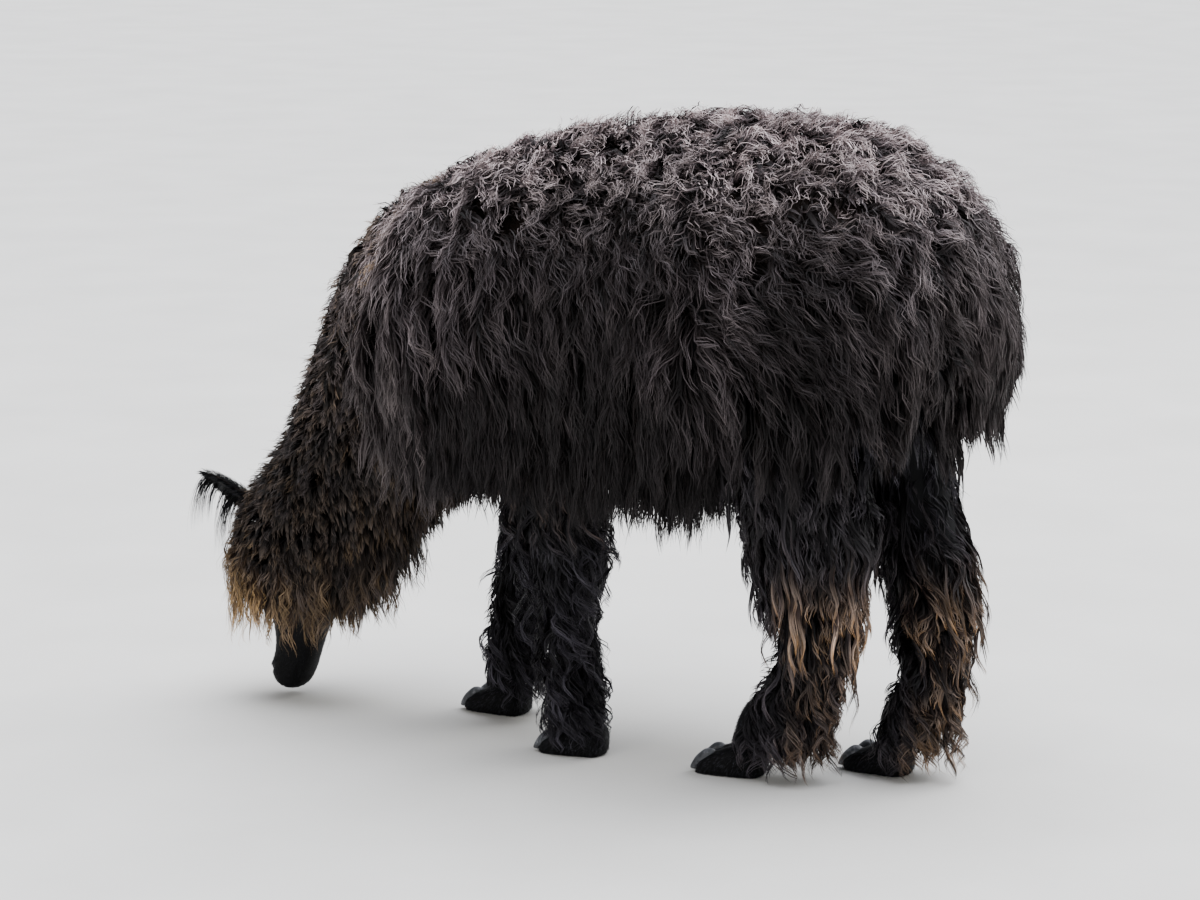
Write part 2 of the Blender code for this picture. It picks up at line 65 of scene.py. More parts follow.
# Lowest tips of the hem under the trunk: x, height.
HEM_LINE = ((-0.50, 0.54), (-0.44, 0.425), (-0.37, 0.368), (-0.28, 0.352), (-0.06, 0.358),
            (0.02, 0.332), (0.08, 0.328), (0.13, 0.375), (0.17, 0.430), (0.21, 0.465),
            (0.42, 0.472), (0.45, 0.490), (0.48, 0.550), (0.50, 0.61))
HEM_LOCK = 0.046  # spacing of the pointed locks along the hem
# Tail: x, height, half thickness, half width.
FLEECE_TAIL = (
    (0.420, 0.855, 0.024, 0.042), (0.472, 0.780, 0.030, 0.054), (0.494, 0.690, 0.032, 0.060),
    (0.480, 0.605, 0.030, 0.058), (0.460, 0.545, 0.022, 0.044),
)
# Neck and head wool: face point (x, z), throat point (x, z), half width.
FLEECE_NECK = (
    (-0.300, 0.880, -0.130, 0.620, 0.150), (-0.456, 0.829, -0.218, 0.522, 0.179),
    (-0.567, 0.688, -0.293, 0.457, 0.165), (-0.627, 0.551, -0.371, 0.380, 0.143),
    (-0.680, 0.439, -0.456, 0.295, 0.127), (-0.737, 0.365, -0.504, 0.238, 0.121),
    (-0.777, 0.292, -0.532, 0.200, 0.119), (-0.792, 0.236, -0.550, 0.184, 0.114),
    (-0.794, 0.190, -0.562, 0.176, 0.106),
)
# Legs in their wool: x, distance from the midline, height, half depth fore and aft, half width.
FLEECE_LEGS = {
    "foreleg_left": (
        (-0.190, 0.118, 0.600, 0.096, 0.083), (-0.166, 0.106, 0.480, 0.090, 0.073),
        (-0.154, 0.092, 0.360, 0.078, 0.064), (-0.138, 0.080, 0.285, 0.056, 0.052),
        (-0.144, 0.074, 0.235, 0.045, 0.045), (-0.153, 0.070, 0.170, 0.046, 0.044),
        (-0.146, 0.068, 0.110, 0.053, 0.047), (-0.141, 0.068, 0.070, 0.050, 0.045),
    ),
    "foreleg_right": (
        (-0.220, 0.118, 0.600, 0.096, 0.083), (-0.234, 0.106, 0.480, 0.084, 0.073),
        (-0.270, 0.092, 0.360, 0.069, 0.063), (-0.298, 0.081, 0.285, 0.053, 0.052),
        (-0.311, 0.075, 0.230, 0.045, 0.046), (-0.319, 0.070, 0.165, 0.045, 0.044),
        (-0.323, 0.068, 0.110, 0.048, 0.046), (-0.330, 0.068, 0.080, 0.043, 0.042),
    ),
    "hindleg_left": (
        (0.228, 0.132, 0.620, 0.126, 0.098), (0.250, 0.120, 0.500, 0.104, 0.089),
        (0.268, 0.104, 0.420, 0.105, 0.084), (0.265, 0.090, 0.355, 0.098, 0.074),
        (0.259, 0.075, 0.305, 0.084, 0.063), (0.265, 0.062, 0.260, 0.076, 0.051),
        (0.263, 0.055, 0.215, 0.067, 0.045), (0.243, 0.053, 0.175, 0.060, 0.043),
        (0.228, 0.053, 0.130, 0.068, 0.042), (0.212, 0.053, 0.085, 0.066, 0.040),
    ),
    "hindleg_right": (
        (0.290, 0.132, 0.620, 0.112, 0.098), (0.312, 0.120, 0.500, 0.078, 0.087),
        (0.327, 0.104, 0.420, 0.071, 0.080), (0.356, 0.088, 0.355, 0.072, 0.068),
        (0.384, 0.073, 0.300, 0.068, 0.059), (0.396, 0.061, 0.257, 0.069, 0.050),
        (0.391, 0.055, 0.210, 0.063, 0.045), (0.394, 0.052, 0.165, 0.057, 0.042),
        (0.386, 0.052, 0.120, 0.058, 0.042), (0.370, 0.052, 0.090, 0.050, 0.040),
    ),
}

# ---------------------------------------------------------------- the body under the coat
SKIN_TRUNK = (  # x, top, bottom, half width
    (-0.455, 0.660, 0.660, 0.000), (-0.420, 0.758, 0.520, 0.130), (-0.340, 0.838, 0.478, 0.182),
    (-0.220, 0.888, 0.474, 0.212), (-0.060, 0.920, 0.472, 0.226), (0.080, 0.941, 0.476, 0.230),
    (0.200, 0.935, 0.510, 0.228), (0.310, 0.910, 0.525, 0.218), (0.400, 0.855, 0.545, 0.184),
    (0.448, 0.775, 0.590, 0.118), (0.466, 0.680, 0.680, 0.000),
)
SKIN_TAIL = ((0.395, 0.790, 0.018), (0.440, 0.720, 0.016), (0.458, 0.650, 0.013), (0.460, 0.590, 0.006))
SKIN_NECK = (  # x, z of the middle, half depth, half width
    (-0.240, 0.730, 0.150, 0.140), (-0.345, 0.660, 0.142, 0.140), (-0.440, 0.565, 0.132, 0.128),
    (-0.510, 0.460, 0.118, 0.108), (-0.570, 0.365, 0.104, 0.092), (-0.628, 0.300, 0.080, 0.074),
)
# Head in its short hair, hanging: height, x of the face side, x of the jaw side, half width.
SKIN_HEAD = (
    (0.334, -0.652, -0.648, 0.000), (0.320, -0.710, -0.602, 0.044), (0.289, -0.748, -0.597, 0.060),
    (0.250, -0.762, -0.593, 0.065), (0.205, -0.755, -0.593, 0.064), (0.160, -0.740, -0.605, 0.0525),
    (0.118, -0.7245, -0.6315, 0.0375), (0.080, -0.7215, -0.6465, 0.0345), (0.048, -0.7285, -0.6585, 0.0355),
    (0.028, -0.7235, -0.6685, 0.0320), (0.016, -0.7100, -0.6800, 0.0215), (0.012, -0.6960, -0.6940, 0.0000),
)
EYE = (-0.716, 0.0500, 0.203)
EYE_RADIUS = 0.0185
EAR_ROOT = (-0.722, 0.042, 0.286)
EAR_TIP = {"left": (-0.810, 0.078, 0.364), "right": (-0.741, 0.176, 0.398)}
EAR_FACING = {"left": (-0.42, 0.76, -0.50), "right": (-0.85, 0.20, -0.45)}
EAR_HALF_BREADTH, EAR_THICKNESS, EAR_CUP = 0.0225, 0.0140, 0.35
SKIN_LEGS = {  # x, distance from the midline, height, half depth, half width
    "foreleg_left": (
        (-0.185, 0.105, 0.600, 0.070, 0.050), (-0.170, 0.098, 0.500, 0.056, 0.048),
        (-0.160, 0.088, 0.400, 0.046, 0.042), (-0.158, 0.078, 0.300, 0.036, 0.034),
        (-0.155, 0.074, 0.270, 0.032, 0.030), (-0.148, 0.072, 0.200, 0.024, 0.023),
        (-0.137, 0.070, 0.120, 0.024, 0.024), (-0.130, 0.069, 0.085, 0.026, 0.027),
        (-0.133, 0.069, 0.045, 0.022, 0.026),
    ),
    "foreleg_right": (
        (-0.235, 0.105, 0.600, 0.070, 0.050), (-0.235, 0.098, 0.500, 0.056, 0.048),
        (-0.262, 0.088, 0.400, 0.046, 0.042), (-0.292, 0.078, 0.300, 0.036, 0.034),
        (-0.302, 0.074, 0.270, 0.032, 0.030), (-0.318, 0.072, 0.200, 0.024, 0.023),
        (-0.335, 0.070, 0.120, 0.024, 0.024), (-0.341, 0.069, 0.085, 0.026, 0.027),
        (-0.349, 0.069, 0.045, 0.022, 0.026),
    ),
    "hindleg_left": (
        (0.255, 0.100, 0.660, 0.125, 0.070), (0.235, 0.105, 0.580, 0.110, 0.070),
        (0.225, 0.098, 0.500, 0.088, 0.062), (0.228, 0.088, 0.420, 0.070, 0.052),
        (0.245, 0.075, 0.340, 0.052, 0.040), (0.264, 0.062, 0.270, 0.042, 0.030),
        (0.256, 0.057, 0.235, 0.034, 0.026), (0.220, 0.054, 0.160, 0.026, 0.023),
        (0.170, 0.053, 0.100, 0.027, 0.025), (0.150, 0.053, 0.050, 0.024, 0.026),
    ),
    "hindleg_right": (
        (0.285, 0.100, 0.660, 0.120, 0.070), (0.300, 0.105, 0.580, 0.100, 0.070),
        (0.315, 0.098, 0.500, 0.072, 0.060), (0.345, 0.088, 0.420, 0.056, 0.050),
        (0.378, 0.075, 0.340, 0.048, 0.040), (0.402, 0.062, 0.270, 0.042, 0.030),
        (0.398, 0.057, 0.235, 0.034, 0.026), (0.383, 0.054, 0.160, 0.026, 0.023),
        (0.350, 0.053, 0.100, 0.027, 0.025), (0.336, 0.053, 0.050, 0.024, 0.026),
    ),
}
# Feet: x of the toe tips, distance from the midline, degrees that the toes point outwards.
FEET = {
    "foreleg_left": (-0.184, 0.070, 6.0),
    "foreleg_right": (-0.406, 0.070, 4.0),
    "hindleg_left": (0.076, 0.055, 4.0),
    "hindleg_right": (0.262, 0.054, 5.0),
}
FOOT_LENGTH, TOE_SPACING, TOE_SPLAY = 0.102, 0.0270, 3.5
TOE = (  # share of the length from heel to tip, half width, top, bottom
    (0.03, 0.0050, 0.030, 0.012), (0.12, 0.0130, 0.044, 0.000), (0.40, 0.0180, 0.046, 0.000),
    (0.72, 0.0177, 0.0340, 0.000), (0.92, 0.0132, 0.0250, 0.000), (1.00, 0.0050, 0.0165, 0.004),
)
PAD = (  # the same for the pad that joins the two toes
    (0.00, 0.0060, 0.026, 0.012), (0.08, 0.0200, 0.042, 0.000), (0.35, 0.0270, 0.044, 0.000),
    (0.60, 0.0240, 0.034, 0.002), (0.74, 0.0060, 0.022, 0.010),
)
NAIL = (  # distance ahead of the toe's tip, height of the middle, half width, half height
    (-0.0290, 0.0300, 0.0070, 0.0050), (-0.0220, 0.0282, 0.0100, 0.0092), (-0.0120, 0.0225, 0.0118, 0.0122),
    (0.0000, 0.0145, 0.0096, 0.0100), (0.0060, 0.0100, 0.0058, 0.0060), (0.0095, 0.0070, 0.0020, 0.0025),
)
LID_THICKNESS = 0.0032
LIDS_APART, LIDS_LONG = 0.0085, 0.0145  # half height and half length of the opening between the lids
SKIN_VOXEL, SKIN_TRIANGLES = 0.0021, 185000
SHELL_VOXEL = 0.007
SEAM_GAP = 0.014  # points of one form farther than this from the shell lie inside another form
ROOT_DEPTH = 0.0015  # how far under the skin a strand of the long coat starts
FLOOR_CLEARANCE = 0.004  # lowest that a strand of the long coat may reach, up to twice that by chance
PATCH = 0.003  # share of the unwrapped skin's width that one strand's patch takes


# ---------------------------------------------------------------- tools
def unit(arrows):
    """Arrows of length one."""
    return arrows / np.maximum(np.linalg.norm(arrows, axis=-1, keepdims=True), 1e-9)


def ease(values, low, high):
    """0 below low, 1 above high (or the other way round), and a smooth S between them."""
    share = np.clip((values - low) / (high - low), 0.0, 1.0)
    return share * share * (3.0 - 2.0 * share)


def band(values, low, high, edge):
    """1 between low and high, fading to 0 over the edge's width."""
    return ease(values, low - edge, low) * ease(values, high + edge, high)


def each(value, points):
    """A value for each point, given as one number or as a function of the place."""
    return value(points) if callable(value) else np.full(len(points), value)


def smooth_through(knots, values, places):
    """Rows of values at the given places, on cubic Hermite curves through the rows at the knots."""
    knots, values, places = (np.asarray(part, float) for part in (knots, values, places))
    slopes = np.gradient(values, knots, axis=0)
    left = np.clip(np.searchsorted(knots, places, side="right") - 1, 0, len(knots) - 2)
    span = (knots[left + 1] - knots[left])[:, None]
    t = (places - knots[left])[:, None] / span
    return (
        (2 * t**3 - 3 * t**2 + 1) * values[left]
        + (t**3 - 2 * t**2 + t) * span * slopes[left]
        + (3 * t**2 - 2 * t**3) * values[left + 1]
        + (t**3 - t**2) * span * slopes[left + 1]
    )


def columns_along(table, count, skip=0.0):
    """Columns of a table at even steps on smooth curves through its rows, from a share of a row
    after the first to as much before the last."""
    places = np.linspace(skip, len(table) - (1 + skip), count)
    return smooth_through(np.arange(len(table)), table, places).T[..., None]


def oval(around, roundness=2.0):
    """Cosine-like and sine-like coordinates of points round a superellipse of that exponent."""
    angle = np.linspace(0.0, 2 * math.pi, around, endpoint=False)
    power = 2.0 / roundness
    cosine, sine = np.cos(angle), np.sin(angle)
    return np.sign(cosine) * np.abs(cosine) ** power, np.sign(sine) * np.abs(sine) ** power


def wander(points, size, seed, stretch=(1.0, 1.0, 1.0)):
    """Smooth noise of about -1 to 1: the sum of nine sine waves of random heading, each about as
    long as the size; a stretch above 1 on an axis makes the patches longer along it."""
    dice = np.random.default_rng(seed)
    waves = unit(dice.normal(size=(9, 3))) * dice.uniform(0.6, 1.5, (9, 1))
    waves *= 2 * math.pi / size / np.array(stretch)
    return np.sin(points @ waves.T + dice.uniform(0, 2 * math.pi, 9)).sum(-1) / 3.0


def chance(points, size):
    """A random 0 to 1 for each cube of that size."""
    cell = np.round(points / size)
    return np.modf(np.abs(np.sin(cell @ np.array([12.9898, 78.233, 37.719]))) * 4375.85)[0]


def read(items, field, width=1, kind=np.float32):
    """One field of a mesh's items, as an array with a row for each."""
    flat = np.empty(len(items) * width, kind)
    items.foreach_get(field, flat)
    return flat.reshape(-1, width) if width > 1 else flat


def points_of(thing):
    """All points of an object's finished mesh."""
    graph = bpy.context.evaluated_depsgraph_get()
    return read(thing.evaluated_get(graph).data.vertices, "co", 3).astype(float)


def move_points(mesh, points):
    """Puts a mesh's points at new places."""
    mesh.vertices.foreach_set("co", points.astype(np.float32).ravel())
    mesh.update()


def add_attribute(mesh, label, values):
    """Keeps one number for each point of a mesh, for its material to read."""
    made = mesh.attributes.new(label, "FLOAT", "POINT")
    made.data.foreach_set("value", values.astype(np.float32))


def make_piece(name, points, quads=(), triangles=()):
    """A smooth-shaded mesh object from whole arrays of points and of the faces' corners."""
    quads = np.asarray(quads, np.int32).reshape(-1, 4)
    triangles = np.asarray(triangles, np.int32).reshape(-1, 3)
    corners = np.concatenate([quads.ravel(), triangles.ravel()])
    starts = np.concatenate([np.arange(len(quads)) * 4, quads.size + np.arange(len(triangles)) * 3])
    mesh = bpy.data.meshes.new(name)
    mesh.vertices.add(len(points))
    mesh.vertices.foreach_set("co", np.asarray(points, np.float32).ravel())
    mesh.loops.add(len(corners))
    mesh.loops.foreach_set("vertex_index", corners.astype(np.int32))
    mesh.polygons.add(len(starts))
    mesh.polygons.foreach_set("loop_start", starts.astype(np.int32))
    mesh.polygons.foreach_set("use_smooth", np.ones(len(starts), bool))
    mesh.update(calc_edges=True)
    made = bpy.data.objects.new(name, mesh)
    bpy.context.scene.collection.objects.link(made)
    return made


def scrap(thing):
    """Deletes an object with its mesh."""
    bpy.data.meshes.remove(thing.data)


def tube_parts(rings):
    """Points, quads and end fans of a closed tube through rings of points, (rings, around, 3),
    drawn to a middle point at each end."""
    count, around = rings.shape[:2]
    ring, step = np.indices((count - 1, around))
    low, after = ring * around, (step + 1) % around
    quads = np.stack([low + step, low + after, low + around + after, low + around + step], -1)
    step, after, hub = step[0], after[0], np.full(around, count * around)
    last = (count - 1) * around
    fans = [np.stack([after, step, hub], -1), np.stack([last + step, last + after, hub + 1], -1)]
    ends = np.array([rings[0].mean(0), rings[-1].mean(0)])
    return np.concatenate([rings.reshape(-1, 3), ends]), quads.reshape(-1, 4), np.concatenate(fans)


def tube(name, rings):
    """A closed tube as one object."""
    return make_piece(name, *tube_parts(rings))


def modify(thing, kind, **settings):
    """Adds one modifier with its settings."""
    made = thing.modifiers.new(kind.lower(), kind)
    for name, value in settings.items():
        setattr(made, name, value)


def settle(thing):
    """Applies the modifiers of an object to its mesh."""
    graph = bpy.context.evaluated_depsgraph_get()
    mesh = bpy.data.meshes.new_from_object(thing.evaluated_get(graph))
    thing.modifiers.clear()
    thing.data = mesh


def melt_together(name, tubes, voxel, rounds):
    """One closed mesh round tubes that are given as rings, from voxels of that size, then smoothed."""
    parts = [tube_parts(rings) for rings in tubes]
    starts = np.cumsum([0] + [len(points) for points, _, _ in parts])
    quads = [quads + start for start, (_, quads, _) in zip(starts, parts)]
    fans = [fans + start for start, (_, _, fans) in zip(starts, parts)]
    points = np.concatenate([points for points, _, _ in parts])
    whole = make_piece(name, points, np.concatenate(quads), np.concatenate(fans))
    modify(whole, "REMESH", mode="VOXEL", voxel_size=voxel, use_smooth_shade=True)
    modify(whole, "SMOOTH", factor=0.5, iterations=rounds)
    settle(whole)
    return whole


def on_surface(points, target, lift=0.0):
    """The nearest place on the target to each point, raised by the lift along the smooth normal."""
    probe = make_piece("probe", points.reshape(-1, 3))
    modify(probe, "SHRINKWRAP", target=target, wrap_method="NEAREST_SURFACEPOINT",
           wrap_mode="ABOVE_SURFACE", offset=lift)
    bpy.context.view_layer.update()
    found = points_of(probe)
    scrap(probe)
    return found.reshape(points.shape)


def place_and_normal(points, target):
    """Nearest places on the target and the smooth normals there."""
    place = on_surface(points, target)
    return place, unit(on_surface(points, target, 0.02) - place)


def spread(thing, count, seed):
    """Points spread at random and evenly over a mesh: triangles drawn by area, then a random mix
    of each one's corners."""
    dice = np.random.default_rng(seed)
    mesh = thing.data
    mesh.calc_loop_triangles()
    corners = read(mesh.loop_triangles, "vertices", 3, np.int32)
    first, second, third = points_of(thing)[corners].transpose(1, 0, 2)
    area = np.linalg.norm(np.cross(second - first, third - first), axis=1)
    chosen = np.searchsorted(np.cumsum(area), dice.uniform(0, area.sum(), count))
    chosen = np.minimum(chosen, len(area) - 1)
    root, share = np.sqrt(dice.random(count))[:, None], dice.random(count)[:, None]
    return (1 - root) * first[chosen] + root * (1 - share) * second[chosen] + root * share * third[chosen]


# ---------------------------------------------------------------- forms of the body and of the coat
def trunk_rings(table, rings, around, back=2.15, belly=2.7, widest=0.46):
    """Upright rings at x = middle + reach times the sine of an even turn; each is a superellipse
    whose upper and lower halves have their own exponent."""
    table = np.array(table)
    middle, reach = (table[0, 0] + table[-1, 0]) / 2, (table[-1, 0] - table[0, 0]) / 2
    knots = np.arcsin(np.clip((table[:, 0] - middle) / reach, -1, 1))
    turn = np.linspace(-1.48, 1.48, rings)
    top, bottom, half = smooth_through(knots, table[:, 1:], turn).T[..., None]
    widest = bottom + widest * (top - bottom)
    wide, high = oval(around, back)
    low_wide, low_high = oval(around, belly)
    wide, high = np.where(high < 0, low_wide, wide), np.where(high < 0, low_high, high)
    x = (middle + reach * np.sin(turn))[:, None] + 0 * wide
    z = widest + high * np.where(high > 0, top - widest, widest - bottom)
    return np.stack([x, wide * half, z], -1)


def slanted_rings(table, rings, around, roundness=2.2):
    """A ring through each pair of face and throat points, across the line between them."""
    fx, fz, tx, tz, half = columns_along(table, rings)
    wide, deep = oval(around, roundness)
    x = (fx + tx) / 2 + (fx - tx) / 2 * deep
    z = (fz + tz) / 2 + (fz - tz) / 2 * deep
    return np.stack([x, wide * half, z], -1)


def square_rings(table, rings, around, roundness=2.0):
    """Rings square to a line in an upright plane fore and aft, through rows of x, height, half
    depth and half width; a row of three is as wide as it is deep."""
    columns = columns_along(table, rings)
    x, z, deep, half = columns[0], columns[1], columns[2], columns[-1]
    line = np.concatenate([x, 0 * x, z], -1)
    run = unit(np.gradient(line, axis=0))
    wide, out = oval(around, roundness)
    points = line[:, None] + 0 * wide[None, :, None]
    points[..., 0] -= run[:, 2:] * out * deep
    points[..., 2] += run[:, :1] * out * deep
    points[..., 1] += wide * half
    return points


def level_rings(table, rings, around, side, roundness=2.0):
    """Level rings through rows of x, distance from the midline, height, half depth, half width."""
    x, y, z, deep, half = columns_along(table, rings)
    along, wide = oval(around, roundness)
    return np.stack([x + along * deep, side * y + wide * half, z + 0 * along], -1)


def side_of(name):
    """-1 for the animal's left side, which faces -Y, and 1 for its right."""
    return -1.0 if name.endswith("left") else 1.0


def head_rings(rings=110, around=120):
    """Level rings down the head. Mouth line, split lip and nostrils are pressed in, and the brow
    and the cheek are raised, each by a bell-shaped depth round its own line or place."""
    z, face, jaw, half = columns_along(SKIN_HEAD, rings, 0.12)
    wide, deep = oval(around, 2.3)
    angle = np.degrees(np.linspace(0, 2 * math.pi, around, endpoint=False))
    from_jaw, from_nose = np.abs(angle - 90.0), np.abs(angle - 270.0)

    def bell(distance, width):
        """1 at the middle, falling off as the exponential of minus the squared distance."""
        return np.exp(-((distance / width) ** 2))

    mouth = 0.0050 * bell(from_jaw - 47.0 - 120 * (z - 0.03), 4.0) * ease(z, 0.066, 0.050)
    split = 0.0045 * bell(from_nose, 4.5) * ease(z, 0.052, 0.034)
    slot_height = 0.046 + 0.00030 * (from_nose - 40.0)
    nostril = 0.0075 * bell(from_nose - 40.0, 12.0) * bell(z - slot_height, 0.0038)
    wing = 0.0022 * bell(from_nose - 40.0, 22.0) * bell(z - slot_height - 0.007, 0.0050)
    chin = 0.0020 * bell(from_jaw, 16.0) * bell(z - 0.026, 0.010)
    brow = 0.0040 * bell(from_nose - 62.0, 16.0) * bell(z - 0.230, 0.012)
    cheek = 0.0030 * bell(from_jaw - 55.0, 20.0) * bell(z - 0.165, 0.030)
    bridge = 0.0020 * bell(from_nose, 14.0) * bell(z - 0.120, 0.045)
    grow = wing + chin + brow + cheek + bridge - mouth - split - nostril
    inward = 1 + np.maximum(grow / np.maximum(half, 0.012), -0.4)
    x = (face + jaw) / 2 + deep * (jaw - face) / 2 * inward
    return np.stack([x, wide * half * inward, z + 0 * wide], -1)


def ear_rings(side, rings=40, around=28):
    """Crescent rings from the root in the head to the tip: the back is a half oval, the front the
    same curve at a third of the depth, so that the ear is cupped towards its facing side."""
    mirror = Vector((1, SIDES[side], 1))
    root, tip = Vector(EAR_ROOT) * mirror, Vector(EAR_TIP[side]) * mirror
    run = (tip - root).normalized()
    facing = Vector(EAR_FACING[side]) * mirror
    facing = (facing - run * facing.dot(run)).normalized()
    across = run.cross(facing)
    share = np.linspace(0, 1, rings)
    breadth = EAR_HALF_BREADTH * smooth_through(
        (0, 0.2, 0.5, 0.75, 0.92, 1), np.c_[[0.55, 0.78, 1.0, 0.84, 0.46, 0.10]], share
    )
    thick = EAR_THICKNESS * smooth_through((0, 0.4, 0.8, 1), np.c_[[0.9, 1.0, 0.6, 0.2]], share)
    wide, out = oval(around)
    level = np.where(out > 0, -EAR_CUP * out, out) * thick
    line = np.array(root) + np.array(tip - root) * share[:, None]
    line -= np.array(facing) * 0.006 * np.sin(math.pi * share)[:, None]
    sideways = wide * breadth
    return line[:, None] + sideways[..., None] * np.array(across) + level[..., None] * np.array(facing)


def ball_rings(sign, radius, rings=26, around=40):
    """Rings of a ball round the eye's middle, with its poles across the head; sine and cosine of
    an even turn from pole to pole."""
    turn = np.linspace(0.06, math.pi - 0.06, rings)[:, None]
    angle = np.linspace(0, 2 * math.pi, around, endpoint=False)
    x, z = np.sin(turn) * np.cos(angle), np.sin(turn) * np.sin(angle)
    return np.array(EYE) * (1, sign, 1) + np.stack([x, np.cos(turn) + 0 * angle, z], -1) * radius


def toe_place(leg, toe, points):
    """Carries points from a toe's own frame, heel at the origin and length along -X, to its place
    in the foot: turned by the splay, set beside its neighbour, then turned and set as the foot is."""
    tip_x, away, outward = FEET[leg]
    side = side_of(leg)

    def spun(points, degrees):
        """Points turned round the upright axis through the origin."""
        angle = math.radians(degrees)
        x = points[..., 0] * math.cos(angle) - points[..., 1] * math.sin(angle)
        y = points[..., 0] * math.sin(angle) + points[..., 1] * math.cos(angle)
        return np.stack([x, y, points[..., 2]], -1)

    placed = spun(points, -toe * TOE_SPLAY) + (0.0, toe * TOE_SPACING / 2, 0.0)
    return spun(placed, -side * outward) + (tip_x + FOOT_LENGTH, side * away, 0.0)


def toe_rings(leg, toe, rings=30, around=36):
    """Upright rings from heel to tip, flattened where they would reach below the sole; toe is -1 or
    1, and 0 for the pad between them."""
    share, half, top, bottom = columns_along(TOE if toe else PAD, rings)
    wide, high = oval(around, 2.4)
    z = (top + bottom - 0.004) / 2 + high * (top - bottom + 0.004) / 2
    points = np.stack([-FOOT_LENGTH * share + 0 * wide, wide * half, np.maximum(z, 0.0004)], -1)
    return toe_place(leg, toe, points)


def nail_rings(leg, toe, rings=24, around=28):
    """Upright ovals along the nail, flat underneath and raised to a soft ridge on top."""
    ahead, middle, half, high = columns_along(NAIL, rings)
    wide, up = oval(around, 2.2)
    ridge = 1 + 0.10 * np.exp(-((wide / 0.35) ** 2)) * (up > 0)
    z = middle + up * high * ridge
    points = np.stack([-FOOT_LENGTH - ahead + 0 * wide, wide * half, np.maximum(z, 0.001)], -1)
    return toe_place(leg, toe, points)


def make_skin():
    """One mesh from nose to tail, with no seam: all the body's tubes melted together. The lids are
    a ball a little larger than each eye, with an almond pressed in where the eye looks out."""
    tubes = [trunk_rings(SKIN_TRUNK, 60, 72, 2.1, 2.2, 0.52), square_rings(SKIN_NECK, 40, 64, 2.1),
             square_rings(SKIN_TAIL, 24, 32), head_rings()]
    for side, sign in SIDES.items():
        tubes += [ear_rings(side), ball_rings(sign, EYE_RADIUS + LID_THICKNESS)]
    for leg in LEGS:
        tubes.append(level_rings(SKIN_LEGS[leg], 80, 48, side_of(leg), 2.1))
        tubes += [toe_rings(leg, toe) for toe in (-1, 0, 1)]
    skin = melt_together("skin", tubes, SKIN_VOXEL, 3)
    points = points_of(skin)
    for sign in SIDES.values():
        offset = points - np.array(EYE) * (1, sign, 1)
        distance = np.linalg.norm(offset, axis=1)
        upright = np.abs(offset[:, 2] + 0.15 * offset[:, 0]) / LIDS_APART
        lengthwise = (offset[:, 0] + 0.004) / LIDS_LONG
        opening = ease(upright**1.6 + lengthwise**2, 1.15, 0.75)
        near = opening * (distance < EYE_RADIUS + 0.012) * (offset[:, 1] * sign > 0)
        wanted = np.minimum(distance, EYE_RADIUS - 0.0025)
        points += unit(offset) * ((wanted - distance) * near)[:, None]
    move_points(skin.data, points)
    modify(skin, "DECIMATE", ratio=min(1.0, SKIN_TRIANGLES / (2 * len(skin.data.polygons))))
    settle(skin)
    skin.data.polygons.foreach_set("use_smooth", np.ones(len(skin.data.polygons), bool))
    return skin


def relief(points):
    """Height of the lumps of matted wool: on the back rounded ones of 5 cm, down the shoulder and
    flank upright folds of 5 cm, and over the withers narrower folds of 3.5 cm."""
    high = ease(points[:, 2], 0.66, 0.92)
    withers = ease(points[:, 0], -0.10, -0.26) * ease(points[:, 2], 0.50, 0.62)
    lumps = 0.0075 * wander(points, 0.050, 11) + 0.0035 * wander(points, 0.026, 12)
    folds = 0.0078 * wander(points, 0.052, 13, (1.0, 1.0, 4.0))
    narrow = 0.0080 * wander(points, 0.035, 14, (1.0, 1.6, 6.0))
    broad = lumps * high * (1 - 0.6 * withers) + folds * (1 - high) * ease(points[:, 2], 0.40, 0.55)
    return broad + narrow * withers


# Rings of each form of the coat.
TRUNK_RINGS = trunk_rings(FLEECE_TRUNK, 80, 96)
NECK_RINGS = slanted_rings(FLEECE_NECK, 48, 64)
TAIL_RINGS = square_rings(FLEECE_TAIL, 30, 32)
LEG_RINGS = {leg: level_rings(FLEECE_LEGS[leg], 60, 40, side_of(leg)) for leg in LEGS}


def make_shell():
    """The coat's closed outer form that the locks are combed over, with the relief of the wool."""
    shell = melt_together("shell", [TRUNK_RINGS, NECK_RINGS, TAIL_RINGS, *LEG_RINGS.values()], SHELL_VOXEL, 6)
    points = points_of(shell)
    outward = read(shell.data.vertex_normals, "vector", 3).astype(float)
    move_points(shell.data, points + outward * relief(points)[:, None])
    return shell


eye_low, eye_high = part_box("eye_left")
SHIFT = np.array((eye_low + eye_high) / 2) - np.array(EYE) * (1, -1, 1)  # drawing frame to the row's
skin = make_skin()
shell = make_shell()


# ---------------------------------------------------------------- combing
# A habit says how the locks of one kind of wool lie. Most of its values are a number or a function
# of the place on the body; lengths are in metres and angles in radians.
#   heading, waver, tangle: the way the wool runs, how it turns from place to place and lock to lock
#   length, steps, stop, hang: how long a lock's line is, in how many steps it is combed, the height
#       where it ends, and what is done to the finished lines
#   where, shortest: which roots are kept, and the least share of a line that still bears a lock
#   strands, marks, width: how many strands a lock has, through how many marks each is drawn, and
#       how wide it is
#   radius, gather, least: of the lock at its root, the share by which it draws in towards its tip,
#       and its shortest strand as a share of its length
#   wave, sway, curl: how long one wave is, and how far it swings sideways and up and down
#   loose, settled, twist: how the waves differ within a lock, by which share of the strand they are
#       full, and how strands are twisted about their length
#   sink, under, uneven, proud, strays: how deep strands are at the root and all along, how locks
#       differ in height, how far tips stand out, and the share of strands that stand out farther


def laid(arrows, normal):
    """Arrows flattened on to the surface with that normal."""
    return unit(arrows - normal * (arrows * normal).sum(-1, keepdims=True))


